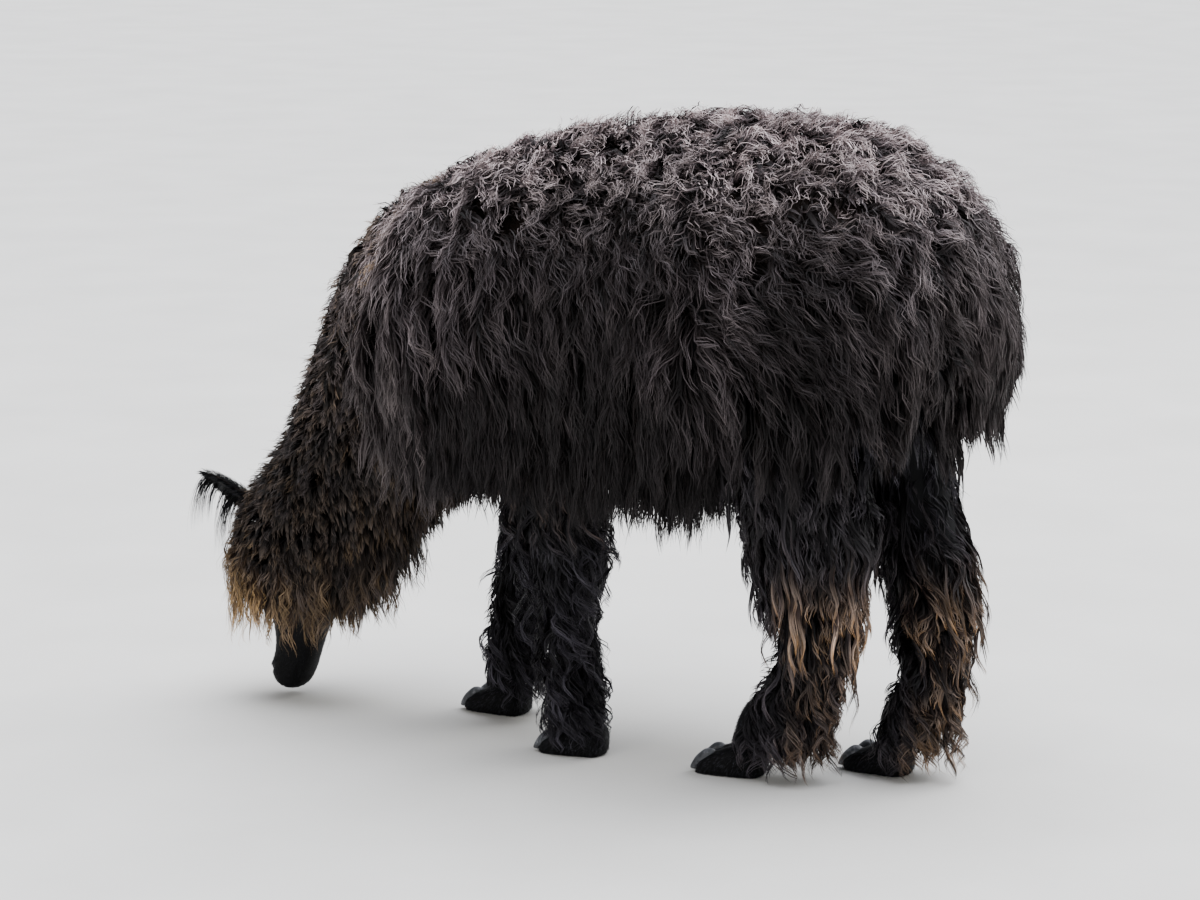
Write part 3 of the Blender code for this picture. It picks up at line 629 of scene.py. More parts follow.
def turned(arrows, normal, angle):
    """Arrows on the surface, turned round its normal."""
    return arrows * np.cos(angle)[..., None] + np.cross(normal, arrows) * np.sin(angle)[..., None]


def falling(slant):
    """Arrows straight down but for a slant: the run backwards for each unit of fall."""
    return np.stack([slant, 0 * slant, -np.ones(len(slant))], -1)


def comb_lines(starts, over, habit, length, seed):
    """Lines over a surface, (locks, steps + 1, 3), with their normals and the share of each that
    is used. Each step goes one part of the length along the heading laid on the surface, turned by
    the waver and by the lock's own tangle, and is set back on it; where the surface turns under,
    the line leaves it and falls. The used share ends where the line reaches the stop."""
    dice = np.random.default_rng(seed)
    steps = habit["steps"]
    place, normal = place_and_normal(starts, over)
    own = each(habit.get("tangle", math.radians(7)), place) * dice.normal(0, 1, len(place))
    pace = (length / steps)[:, None]
    loose = np.zeros((len(place), 1))
    lines, normals = [place], [normal]
    for _ in range(steps):
        run = turned(laid(habit["heading"](place), normal), normal, each(habit["waver"], place) + own)
        loose = np.maximum(loose, ease(normal[:, 2:], -0.12, -0.55))
        run = unit(run * (1 - loose) + np.array([0.0, 0.0, -1.0]) * loose)
        ahead = place + run * pace
        seat, seat_normal = place_and_normal(ahead, over)
        place = seat * (1 - loose) + ahead * loose
        normal = unit(seat_normal * (1 - loose) + normal * loose)
        lines.append(place)
        normals.append(normal)
    lines, normals = np.stack(lines, 1), np.stack(normals, 1)
    above = lines[..., 2] > each(habit["stop"], lines[:, -1])[:, None]
    used = np.maximum(np.cumprod(above, axis=1).sum(1) - 1, 0) / steps
    return habit["hang"](lines) if "hang" in habit else lines, normals, used


def comb_strands(lines, normals, used, habit, seed):
    """The strands of every lock: their paths (strands, marks, 3), width directions, half widths,
    roots in the skin, and a tone for each.

    A strand follows its lock's line at its own place across the lock, draws in to the line towards
    its tip, waves to the side and up and down with its lock, and rises from its root in the skin
    through the depth of the wool to the surface.
    """
    dice = np.random.default_rng(seed)
    locks, marks = lines.shape[:2]
    starts = lines[:, 0]
    order = np.repeat(np.nonzero(used > habit["shortest"])[0], habit["strands"])
    count = len(order)

    def of_lock(key, low, high):
        """For each strand, its lock's value of the habit times that lock's own random share."""
        return (each(habit[key], starts) * dice.uniform(low, high, locks))[order]

    share = np.linspace(0, 1, habit["marks"])
    long = dice.uniform(habit.get("least", 0.7), 1.0, count) * used[order]
    place = share * long[:, None] * (marks - 1)
    low = np.minimum(place.astype(int), marks - 2)
    part = (place - low)[..., None]
    row = order[:, None]
    middle = lines[row, low] * (1 - part) + lines[row, low + 1] * part
    up = unit(normals[row, low] * (1 - part) + normals[row, low + 1] * part)
    run = unit(np.gradient(middle, axis=1))
    side = unit(np.cross(up, run))

    size = of_lock("radius", 0.7, 1.3)
    angle, out = dice.uniform(0, 2 * math.pi, count), np.sqrt(dice.random(count)) * size
    aside, ahead = out * np.cos(angle), out * np.sin(angle)
    gather = each(habit["gather"], starts)[order, None] * share**1.3
    travel = np.linalg.norm(np.diff(middle, axis=1), axis=2).sum(1)[:, None] * share
    wave = of_lock("wave", 0.75, 1.35)
    phase = dice.uniform(0, 2 * math.pi, locks)[order] + dice.normal(0, habit.get("loose", 0.45), count)
    swing = 2 * math.pi * travel / wave[:, None] + phase[:, None]
    rise = ease(share, 0.0, habit.get("settled", 0.35))
    sway = of_lock("sway", 0.5, 1.5)[:, None] * rise
    lift = of_lock("curl", 0.4, 1.4)[:, None] * rise
    sideways = aside[:, None] * (1 - gather) + sway * np.sin(swing)
    level = -habit["sink"] * dice.uniform(0.6, 1.2, count)[:, None] * (1 - share) ** 1.6
    uneven = (each(habit["uneven"], starts) * dice.normal(0, 1, locks))[order]
    level = level + uneven[:, None] * share**0.5 - habit.get("under", 0.0)
    stray = dice.random(count) < habit.get("strays", 0.06)
    proud = each(habit["proud"], starts)[order] * np.where(stray, dice.uniform(1.5, 3.5, count), 1.0)
    level = level + proud[:, None] * share**2 + lift * np.cos(swing)
    path = middle + side * sideways[..., None] + up * level[..., None]
    path = path + run * ahead[:, None, None]

    root = path[:, 0] - run[:, 0] * habit["sink"] * 0.5
    seat, out_of_skin = place_and_normal(root, skin)
    path = np.concatenate([(seat - out_of_skin * ROOT_DEPTH)[:, None], path], 1)
    path[..., 2] = np.maximum(path[..., 2], FLOOR_CLEARANCE * (1 + dice.random(count)[:, None]))
    side = np.concatenate([side[:, :1], side], 1)
    up = np.concatenate([up[:, :1], up], 1)
    run = unit(np.gradient(path, axis=1))
    along = np.linspace(0, 1, path.shape[1])
    twist = dice.normal(0, habit.get("twist", 0.75), count)[:, None]
    twist = twist + dice.normal(0, 0.5, count)[:, None] * np.linspace(-1, 1, path.shape[1])
    across = laid(side * np.cos(twist)[..., None] + up * np.sin(twist)[..., None], run)
    taper = np.interp(along, (0, 0.15, 0.55, 0.85, 1), (0.6, 1, 0.95, 0.5, 0))
    half = each(habit["width"], starts)[order, None] / 2 * dice.uniform(0.6, 1.4, count)[:, None] * taper
    half = np.where(stray[:, None], half * 0.5, half)
    tone = (0.6 * dice.random(locks) + 0.4 * (0.5 + 0.5 * wander(starts, 0.035, seed)))[order]
    return {"path": path, "across": across, "half": half, "root": seat, "tone": tone}


def grow(form, count, seed, habit, over=shell):
    """Locks seeded evenly over one form, where it isn't inside another one, each 0.8 to 1.15 of the
    habit's length, and combed over the shell or the skin."""
    starts = spread(form, count, seed)
    seat = on_surface(starts, over)
    starts = starts[np.linalg.norm(seat - starts, axis=1) < SEAM_GAP]
    starts = starts[habit["where"](starts)] if "where" in habit else starts
    length = each(habit["length"], starts) * np.random.default_rng(seed + 1).uniform(0.8, 1.15, len(starts))
    return comb_strands(*comb_lines(starts, over, habit, length, seed + 3), habit, seed + 2)


def finish(piece):
    """Moves a piece from the drawing frame into the row's, and lets it ride on the animal."""
    move_points(piece.data, read(piece.data.vertices, "co", 3) + SHIFT)
    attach(piece, "root")


def make_hair(name, strands, unwrap, gilt, kind, bright=1.0, varied=1.0, chosen=slice(None)):
    """Joins strands into one piece: two points at each mark and one at the tip. The map OFBake puts
    each strand on a small patch at its root's place on the unwrapped skin, and the map strand runs
    across (0 to 1) and along it (0 at the root). The shade is low for most strands and high for a few,
    drawn in to 1 where the wool is less varied, times how bright it is at that place; that brightness
    holds painted light and shade on the trunk and neck, and a painted highlight on the feet."""
    path, across, half, root, tone = (
        strands[key][chosen] for key in ("path", "across", "half", "root", "tone")
    )
    count, marks = path.shape[:2]
    flat = path[:, :-1, None] + np.array([-1.0, 1.0])[:, None] * (across * half[..., None])[:, :-1, None]
    points = np.concatenate([flat.reshape(count, -1, 3), path[:, -1:]], 1)
    per = 2 * (marks - 1) + 1
    start = np.arange(count)[:, None] * per
    step = np.arange(marks - 2) * 2
    quads = np.stack([step, step + 2, step + 3, step + 1], -1)[None] + start[..., None]
    tips = np.array([per - 3, per - 1, per - 2])[None] + start
    made = make_piece(name, points.reshape(-1, 3), quads, tips)

    along = np.repeat(np.linspace(0, 1, marks), 2)[:per]
    beside = np.append(np.tile([0.0, 1.0], marks - 1), 0.5)
    lengthwise = np.stack([beside, along], -1)
    spots = unwrap(root)
    spots = (spots - spots.min(0)) / np.maximum(np.ptp(spots, axis=0), 1e-6)
    spots = 0.004 + spots * 0.988  # keeps every patch inside the map
    corners = read(made.data.loops, "vertex_index", 1, np.int32)
    strand, mark = corners // per, corners % per
    maps = {"OFBake": spots[strand] + (lengthwise * PATCH)[mark], "strand": lengthwise[mark]}
    for label, values in maps.items():
        layer = made.data.uv_layers.new(name=label)
        layer.uv.foreach_set("vector", values.astype(np.float32).ravel())
    shade = np.random.default_rng(len(name)).random(strands["path"].shape[0])[chosen]
    shade = 0.25 + 1.6 * (0.45 * shade + 0.55 * tone) ** 2
    # The brightness of the place brings painted light and shade into the shade attribute.
    shade = (1 + varied * (shade - 1)) * each(bright, root)
    add_attribute(made.data, "gilt", np.repeat(each(gilt, path[:, -1]), per))
    add_attribute(made.data, "shade", np.repeat(shade, per))
    made.data.materials.append(WOOLS[kind])
    finish(made)


# ---------------------------------------------------------------- materials
def linear(hex_colour):
    """Linear RGBA of an sRGB hex colour."""
    parts = [int(hex_colour[i:i + 2], 16) / 255 for i in (1, 3, 5)]
    parts = [p / 12.92 if p <= 0.04045 else ((p + 0.055) / 1.055) ** 2.4 for p in parts]
    return (*parts, 1.0)


def node(tree, kind, settings=None, values=None, links=None, ramp=()):
    """Adds one node with its settings, socket values, incoming links and the hex colours of its
    ramp, and returns its outputs."""
    made = tree.nodes.new("ShaderNode" + kind)
    for name, value in (settings or {}).items():
        setattr(made, name, value)
    for socket, value in (values or {}).items():
        made.inputs[socket].default_value = value
    for socket, source in (links or {}).items():
        tree.links.new(source, made.inputs[socket])
    for index, (position, colour) in enumerate(ramp):
        stops = made.color_ramp.elements
        stop = stops[index] if index < len(stops) else stops.new(position)
        stop.position = position
        stop.color = linear(colour)
    return made.outputs


def new_material(name):
    """A material with an empty tree, and what adds a node to it."""
    made = bpy.data.materials.new(name)
    made.use_nodes = True
    made.node_tree.nodes.clear()
    return made, partial(node, made.node_tree)


def wool(name, root, body, tip, gilt_body, gilt_tip, gilt_end, rough, sheen):
    """Wool fibre: dark at the root and paler and drier to the tip; each strand has its own shade,
    and sun-bleached tips turn golden brown where the gilt attribute says. Fine streaks along the
    strand stand for single hairs, drawn about ten times as coarse as real ones so that they show."""
    made, add = new_material(name)
    strand = add("UVMap", {"uv_map": "strand"})["UV"]
    along = add("SeparateXYZ", links={0: strand})["Y"]
    shade = add("Attribute", {"attribute_name": "shade"})["Fac"]
    gilt = add("Attribute", {"attribute_name": "gilt"})["Fac"]
    plain = add("ValToRGB", links={"Fac": along}, ramp=((0.0, root), (0.55, body), (1.0, tip)))
    golden = add("ValToRGB", links={"Fac": along},
                 ramp=((0.15, root), (0.55, gilt_body), (0.82, gilt_tip), (1.0, gilt_end)))
    bleached = add("Mix", {"data_type": "RGBA"},
                   links={"Factor": gilt, "A": plain["Color"], "B": golden["Color"]})
    place = add("TexCoord")["Object"]
    patches = add("TexNoise", values={"Scale": 14.0, "Detail": 3.0}, links={"Vector": place})
    dirt = add("MapRange", values={"From Min": 0.3, "From Max": 0.7, "To Min": 0.75, "To Max": 1.25},
               links={"Value": patches["Fac"]})
    strength = add("Math", {"operation": "MULTIPLY"}, links={0: shade, 1: dirt["Result"]})
    colour = add("Mix", {"data_type": "RGBA", "blend_type": "MULTIPLY"}, {"Factor": 1.0},
                 {"A": bleached["Result"], "B": strength[0]})
    stretched = add("Mapping", values={"Scale": (9.0, 0.8, 1.0)}, links={"Vector": strand})
    hairs = add("TexNoise", values={"Scale": 1.0, "Detail": 2.0}, links={"Vector": stretched["Vector"]})
    bump = add("Bump", values={"Strength": 0.5, "Distance": 0.0004}, links={"Height": hairs["Fac"]})
    shader = add(
        "BsdfPrincipled",
        values={"Roughness": rough, "IOR": 1.22, "Sheen Weight": sheen, "Sheen Roughness": 0.5,
                "Sheen Tint": linear("#b9a193")},
        links={"Base Color": colour["Result"], "Normal": bump["Normal"]},
    )
    add("OutputMaterial", links={"Surface": shader[0]})
    return made


def skin_material():
    """Skin with short flat black hair, as on the nose and feet: the hair lies in fine streaks of
    about 1 mm over soft folds, and is browner where the gilt attribute says."""
    made, add = new_material("short black hair on skin")
    place = add("TexCoord")["Object"]
    gilt = add("Attribute", {"attribute_name": "gilt"})["Fac"]
    stretched = add("Mapping", values={"Scale": (1.0, 1.0, 0.28)}, links={"Vector": place})
    hairs = add("TexNoise", values={"Scale": 900.0, "Detail": 3.0}, links={"Vector": stretched["Vector"]})
    folds = add("TexNoise", values={"Scale": 130.0, "Detail": 4.0, "Roughness": 0.6}, links={"Vector": place})
    black = add("ValToRGB", links={"Fac": hairs["Fac"]}, ramp=((0.3, "#060607"), (0.75, "#0b0b0d")))
    brown = linear("#2c2018")
    colour = add("Mix", {"data_type": "RGBA"}, {"B": brown}, {"Factor": gilt, "A": black["Color"]})
    fine = add("Bump", values={"Strength": 0.5, "Distance": 0.0004}, links={"Height": hairs["Fac"]})
    coarse = add("Bump", values={"Strength": 0.35, "Distance": 0.0010},
                 links={"Height": folds["Fac"], "Normal": fine["Normal"]})
    shader = add("BsdfPrincipled", values={"Roughness": 0.62, "IOR": 1.20},
                 links={"Base Color": colour["Result"], "Normal": coarse["Normal"]})
    add("OutputMaterial", links={"Surface": shader[0]})
    return made


def nail_material():
    """Horn, grown in fine lengthwise ridges of about 1 mm, dark grey and scuffed paler; the palest
    scuffs are partly dusty wear and partly a painted highlight for the shine on the nails.
    """
    made, add = new_material("dark horn")
    place = add("TexCoord")["Object"]
    ridged = add("Mapping", values={"Scale": (0.12, 1.0, 1.0)}, links={"Vector": place})
    ridges = add("TexNoise", values={"Scale": 700.0, "Detail": 2.0}, links={"Vector": ridged["Vector"]})
    scuffs_and_highlight = add("TexNoise", values={"Scale": 90.0, "Detail": 5.0, "Roughness": 0.7}, links={"Vector": place})
    # The palest stop is partly dusty wear and partly a painted highlight.
    colour = add("ValToRGB", links={"Fac": scuffs_and_highlight["Fac"]},
                 ramp=((0.34, "#232428"), (0.52, "#44464b"), (0.70, "#929399")))
    bump = add("Bump", values={"Strength": 0.6, "Distance": 0.0005}, links={"Height": ridges["Fac"]})
    shader = add("BsdfPrincipled", values={"Roughness": 0.48, "IOR": 1.54},
                 links={"Base Color": colour["Color"], "Normal": bump["Normal"]})
    add("OutputMaterial", links={"Surface": shader[0]})
    return made


def eye_material():
    """Wet dark brown eye: the long pupil and the iris are drawn by the distance from the axis, and
    a clear coat stands for the tear film."""
    made, add = new_material("wet dark eye")
    ring = add("Attribute", {"attribute_name": "iris"})["Fac"]
    place = add("TexCoord")["Object"]
    streaks = add("TexNoise", values={"Scale": 600.0, "Detail": 3.0}, links={"Vector": place})
    mixed = add("Math", {"operation": "MULTIPLY_ADD"}, {1: 0.12}, {0: streaks["Fac"], 2: ring})
    colour = add("ValToRGB", links={"Fac": mixed[0]},
                 ramp=((0.30, "#030304"), (0.42, "#1d0f08"), (0.75, "#2a160b"), (0.92, "#120a08")))
    shader = add("BsdfPrincipled", links={"Base Color": colour["Color"]},
                 values={"Roughness": 0.12, "IOR": 1.38, "Coat Weight": 1.0, "Coat Roughness": 0.03})
    add("OutputMaterial", links={"Surface": shader[0]})
    return made


# By the record's slot: root, body and tip of a strand; its body, tip and very end where it is
# sun-bleached; roughness and sheen.
WOOLS = {
    "fleece": wool(
        "alpaca fleece", "#0c0a0b", "#221d1e", "#5a5254", "#463d3e", "#857a79", "#a19492", 0.50, 0.05
    ),
    "neck_wool": wool(
        "curly neck wool", "#0a0807", "#1d1918", "#635957", "#4a3828", "#a08258", "#c9a36a", 0.50, 0.04
    ),
    "leg_wool": wool(
        "long leg wool", "#08080a", "#1a181c", "#46434a", "#382b26", "#a58e7c", "#c4935a", 0.42, 0.02
    ),
    "face_hair": wool(
        "short black hair", "#040405", "#0b0b0d", "#17171b", "#0f0d0c", "#15120f", "#15120f", 0.50, 0.0
    ),
}


# ---------------------------------------------------------------- trunk
# Short wool under the locks; where it is grown it is also darkened, as painted shade between the locks.
UNDERWOOL = dict(
    strands=4, marks=4, steps=4, gather=0.1, sink=0.006, uneven=0.001, proud=0.0, wave=0.05, waver=0.0,
    sway=0.001, curl=0.001, shortest=0.2, strays=0.0, twist=0.3,
)


def long_way(points):
    """Unwrap of the trunk: along x, and the angle round the trunk's middle line."""
    return np.stack([points[:, 0], np.arctan2(points[:, 1], points[:, 2] - 0.66)], -1)


def matted(points):
    """1 on the felted back, 0 on the combed flank."""
    return ease(points[:, 2], 0.60, 0.96)


def trunk_heading(points):
    """Down and back: the share of back-slant follows x, more of it high up; just behind the
    whorl on the flank it jumps, so the wool parts there."""
    x, z = points[:, 0], points[:, 2]
    slant = np.interp(
        x,
        (-0.50, -0.42, -0.30, -0.10, 0.03, 0.10, 0.135, 0.165, 0.30, 0.42, 0.50),
        (0.00, 0.10, 0.50, 0.60, 0.25, -0.05, 0.00, 1.10, 1.40, 0.90, 0.30),
    )
    up = np.clip((z - 0.45) / 0.45, 0, 1)
    return falling(slant * np.where(x > 0.14, 0.35 + 0.9 * up, 0.15 + 1.1 * up))


def trunk_waver(points):
    """Turns of the heading: 15 degrees in broad patches, and 11 to 25 in small ones."""
    small = np.radians(11 + 14 * matted(points)) * wander(points, 0.045, 32)
    return np.radians(15) * wander(points, 0.14, 31) + small


def hem_middle(points):
    """x of the middle of the hem's lock that each point belongs to, and a random 0 to 1 for it: the
    locks hang in rows 6 cm apart, each row set 0.15 of a lock farther on."""
    row = np.round(points[:, 1] / 0.06)
    cell = np.round(points[:, 0] / HEM_LOCK + 0.15 * row)
    own = np.modf(np.abs(np.sin(cell * 12.9898 + row * 7.23)) * 4375.85)[0]
    return (cell - 0.15 * row) * HEM_LOCK, own


def hem_height(points):
    """Height of the hem line under each point."""
    return np.interp(points[..., 0], *np.transpose(HEM_LINE))


def trunk_stop(points):
    """Height of the hem's tips, lower or higher from lock to lock, most of all over the thigh."""
    thigh = ease(points[:, 0], 0.16, 0.24)
    return hem_height(points) + (0.045 + 0.06 * thigh) * hem_middle(points)[1] ** 1.5 - 0.03 * thigh


def trunk_hang(lines):
    """Draws the falling ends towards the middle of their lock, so that each lock is pointed."""
    middle, _ = hem_middle(lines[:, -1])
    hem = hem_height(lines[:, -1])[:, None]
    drawn = lines.copy()
    drawn[..., 0] += (middle[:, None] - lines[..., 0]) * 0.85 * ease(lines[..., 2], hem + 0.10, hem + 0.005)
    return drawn


def trunk_gilt(tip):
    """Sun-bleached back and rump, and browner tips on the shoulder's fringe."""
    back = 0.95 * ease(tip[:, 2], 0.76, 0.92)
    rump = 0.45 * ease(tip[:, 0], 0.38, 0.50)
    shoulder = 0.65 * ease(tip[:, 0], -0.30, -0.44)
    return np.clip(np.maximum(np.maximum(back, rump), shoulder) + 0.18 * wander(tip, 0.07, 41), 0, 1)


def trunk_bleach_and_painted_light(root):
    """Painted light and shade on the fleece: palest along the top of the back, where the wool is
    sun-bleached and a painted highlight stands for the light from above, and darker with the depth
    below it as painted shade; paler again over the shoulder and where the long locks fall ahead of
    the haunch, and dark on the rump."""
    x, z = root[:, 0], root[:, 2]
    places, top, _, _ = np.transpose(FLEECE_TRUNK)
    depth = np.interp(np.maximum(x, -0.42), places, top) - z
    # Painted highlight along the top of the back, and painted shade growing with the depth below it.
    back = 2.3 * ease(depth, 0.13, 0.03) * ease(x, 0.47, 0.38)
    side = 0.17 + 0.26 * ease(depth, 0.42, 0.24) + 0.50 * ease(depth, 0.26, 0.08) * ease(x, 0.50, 0.42)
    shoulder = 1.0 * np.exp(-(((x + 0.28) / 0.13) ** 2)) * ease(depth, 0.30, 0.20)
    locks = 1.0 * np.exp(-(((x - 0.165) / 0.045) ** 2)) * ease(np.abs(z - 0.76), 0.18, 0.08)
    return (side + back + shoulder + locks) * (1 - 0.55 * ease(x, 0.40, 0.47))


TRUNK_WAYS = dict(heading=trunk_heading, waver=trunk_waver, stop=trunk_stop, hang=trunk_hang)
TRUNK_HABIT = dict(  # 5 cm locks on the matted back, 11.5 cm on the flank
    TRUNK_WAYS, length=lambda p: 0.115 - 0.065 * matted(p), strands=7, marks=7, steps=9, radius=0.012,
    gather=lambda p: 0.55 - 0.25 * matted(p), sink=0.018, uneven=0.0040, proud=0.004,
    wave=lambda p: 0.060 - 0.038 * matted(p), sway=0.0036, curl=lambda p: 0.0022 + 0.0014 * matted(p),
    width=lambda p: 0.0021 - 0.0006 * matted(p), shortest=0.25, strays=0.12,
    tangle=lambda p: np.radians(9 + 22 * matted(p)),
)
TRUNK_UNDERWOOL = dict(TRUNK_WAYS, **{
    **UNDERWOOL, "length": 0.06, "steps": 5, "radius": 0.016, "sink": 0.012, "uneven": 0.002, "sway": 0.002,
    "width": 0.0055, "under": 0.010,
})
SHOULDER_HABIT = dict(
    TRUNK_WAYS, length=0.13, stop=lambda p: trunk_stop(p) - 0.02, strands=9, marks=9, steps=10,
    radius=0.011, gather=0.80, sink=0.012, uneven=0.004, proud=0.011, wave=0.058, sway=0.0052,
    curl=0.0038, width=0.0020, shortest=0.3, strays=0.12, settled=0.7, least=0.75,
    where=lambda p: (p[:, 0] < -0.29) & (p[:, 2] < 0.70) & (p[:, 2] > 0.43),
)


def on_side(strands, side):
    """Numbers of the strands that are rooted on one side."""
    return np.nonzero(strands["root"][:, 1] * SIDES[side] > 0)[0]


form = tube("form", TRUNK_RINGS)
hair = grow(form, 7850, 100, TRUNK_HABIT)
for side in SIDES:
    mine = on_side(hair, side)
    thirds = np.array_split(mine[np.argsort(hair["root"][mine, 0])], 3)
    for label, third in zip(("shoulder", "flank", "rump"), thirds):
        make_hair(f"fleece_{label}_{side}", hair, long_way, trunk_gilt, "fleece", trunk_bleach_and_painted_light, 0.8, third)
hair = grow(form, 2600, 130, SHOULDER_HABIT)
make_hair("shoulder_fringe", hair, long_way, lambda tip: 0.55 + 0.35 * wander(tip, 0.05, 43), "fleece", 0.62)
# The underwool is made darker than the fleece, as painted shade deep in the coat between the locks.
hair = grow(form, 1800, 140, TRUNK_UNDERWOOL)
make_hair("fleece_underwool", hair, long_way, 0.0, "fleece", lambda root: 0.1 + 0.4 * trunk_bleach_and_painted_light(root))
scrap(form)


# ---------------------------------------------------------------- neck and head
def down_way(points):
    """Unwrap of the neck: the angle round it, and the way down its slope."""
    along = points[:, 2] + 0.6 * points[:, 0]
    middle = -0.62 + 0.45 * (points[:, 2] - 0.3)
    return np.stack([np.arctan2(points[:, 1], points[:, 0] - middle), along], -1)


def neck_heading(points):
    """Down along the neck, and outwards to the back on the throat's side."""
    x, z = points[:, 0], points[:, 2]
    nape = np.interp(z, (0.10, 0.33, 0.50, 0.78), (-0.80, -0.76, -0.65, -0.50))
    across = np.clip((x - nape) / 0.27, 0, 1)
    return falling(-0.25 + 0.75 * across * ease(z, 0.14, 0.30))


def neck_stop(points):
    """Height of the fringe's tips: lowest over the face, and higher towards the throat."""
    x = (-0.80, -0.70, -0.62, -0.57, -0.52, -0.46, -0.40)
    hem = np.interp(points[:, 0], x, (0.072, 0.090, 0.094, 0.100, 0.140, 0.20, 0.26))
    return hem - 0.006 + 0.046 * chance(points, 0.022)


def neck_gilt(tip):
    """Warm tips on the cheek, golden in the fringe over the face."""
    front = ease(tip[:, 0], -0.62, -0.74)
    fringe_share = ease(tip[:, 2], 0.22 + 0.08 * front, 0.10 + 0.02 * front)
    uneven = 0.75 + 0.45 * wander(tip, 0.022, 62)
    low = 0.02 + 0.12 * ease(tip[:, 2], 0.44, 0.28)
    return np.clip(low + (0.35 + 0.6 * front) * fringe_share * uneven + 0.15 * wander(tip, 0.045, 61), 0, 1)


def neck_tone_and_painted_light(root):
    """Paler up at the nape, where it is a painted highlight for the light from above, and in the
    fringe over the face; darkest half way down.
    """
    nape = 1.0 * ease(root[:, 2], 0.40, 0.60) + 0.9 * ease(root[:, 2], 0.60, 0.80)
    face = 0.8 * ease(root[:, 2], 0.31, 0.20) * ease(root[:, 0], -0.60, -0.72)
    return 0.58 + nape + face


NECK_WAYS = dict(
    heading=neck_heading, waver=lambda p: np.radians(20) * wander(p, 0.05, 51), stop=neck_stop
)
NECK_HABIT = dict(  # 2 cm curls on the neck, and 4 cm round the face
    NECK_WAYS, length=lambda p: 0.021 + 0.020 * ease(p[:, 2], 0.26, 0.17), strands=4, marks=5, steps=5,
    radius=0.0042, gather=0.85, wave=0.018, sway=0.0022, curl=0.0024, sink=0.011, uneven=0.0022,
    proud=0.006, width=0.0017, loose=0.25, shortest=0.2, strays=0.10, tangle=math.radians(14),
)
NECK_UNDERWOOL = dict(NECK_WAYS, **{
    **UNDERWOOL, "length": 0.04, "radius": 0.014, "width": 0.0070, "under": 0.005,
})
FRINGE_HABIT = dict(
    NECK_WAYS, heading=lambda p: neck_heading(p) * (0.5, 1, 1), length=0.110, strands=8, marks=10,
    steps=9, radius=0.0090, gather=0.86, wave=0.048, sway=0.0066, curl=0.0050, sink=0.010,
    uneven=0.0030, proud=0.008, width=0.0018, shortest=0.2, strays=0.18, loose=0.25, settled=0.8,
    least=0.75, where=lambda p: p[:, 2] < 0.29,
)
form = tube("form", NECK_RINGS)
kinds = {
    "neck_wool": (grow(form, 8900, 200, NECK_HABIT), neck_tone_and_painted_light),
    "fringe": (grow(form, 1900, 240, FRINGE_HABIT), lambda root: neck_tone_and_painted_light(root) + 0.35),
}
for side in SIDES:
    for label, (hair, bright) in kinds.items():
        mine = on_side(hair, side)
        make_hair(f"{label}_{side}", hair, down_way, neck_gilt, "neck_wool", bright, 0.6, mine)
# The neck's underwool is kept at half brightness, as painted shade deep in the wool between the curls.
make_hair("neck_underwool", grow(form, 2100, 220, NECK_UNDERWOOL), down_way, 0.1, "neck_wool", 0.5)
scrap(form)


# ---------------------------------------------------------------- tail
TAIL_HABIT = dict(
    heading=lambda p: falling(np.zeros(len(p))), waver=lambda p: np.radians(12) * wander(p, 0.05, 71),
    stop=lambda p: 0.505 + 0.05 * chance(p, 0.03), length=0.09, strands=8, marks=8, steps=8,
    radius=0.010, gather=0.5, wave=0.07, sway=0.003, curl=0.002, sink=0.014, uneven=0.002, proud=0.003,
    width=0.0023, shortest=0.2,
)
form = tube("form", TAIL_RINGS)
hair = grow(form, 620, 300, TAIL_HABIT)
make_hair(
    "tail_wool", hair, long_way, lambda tip: 0.2 + 0.3 * ease(tip[:, 0], 0.44, 0.50), "fleece",
    lambda root: 0.30 + 0.45 * ease(root[:, 2], 0.60, 0.85),
)
scrap(form)


# ---------------------------------------------------------------- legs
def up_way(points):
    """Unwrap of a leg: the angle round it, and the height."""
    middle = points.mean(0)
    angle = np.arctan2(points[:, 1] - middle[1], points[:, 0] - middle[0])
    return np.stack([angle, points[:, 2]], -1)


def aft_share(leg, points):
    """-1 at the front edge of a leg, 1 at its back edge."""
    x, _, z, deep, _ = np.array(FLEECE_LEGS[leg])[::-1].T
    middle, deep = np.interp(points[:, 2], z, x), np.interp(points[:, 2], z, deep)
    return np.clip((points[:, 0] - middle) / deep, -1, 1)


def leg_heading(leg, points):
    """Down, swept forwards at the front edge of the thigh and backwards behind the leg."""
    return falling(0.10 + 0.30 * aft_share(leg, points) * ease(points[:, 2], 0.04, 0.25))


def leg_length(leg, points):
    """6.5 cm locks at the sides and behind, 2.2 cm hair down the shin."""
    return 0.065 - 0.043 * ease(points[:, 2], 0.27, 0.20) * ease(aft_share(leg, points), -0.6, -0.9)


def leg_stop(leg, points):
    """Tips end over the toes in front, and almost on the floor beside and behind the heel."""
    aft = aft_share(leg, points)
    if leg.startswith("hind"):
        low = np.interp(aft, (-1, -0.75, -0.5), (0.055, 0.030, 0.005))
    else:
        low = np.interp(aft, (-1, 0.0, 0.8), (0.020 if leg.endswith("left") else 0.050, 0.034, 0.022))
    return low + 0.016 * chance(points, 0.016)


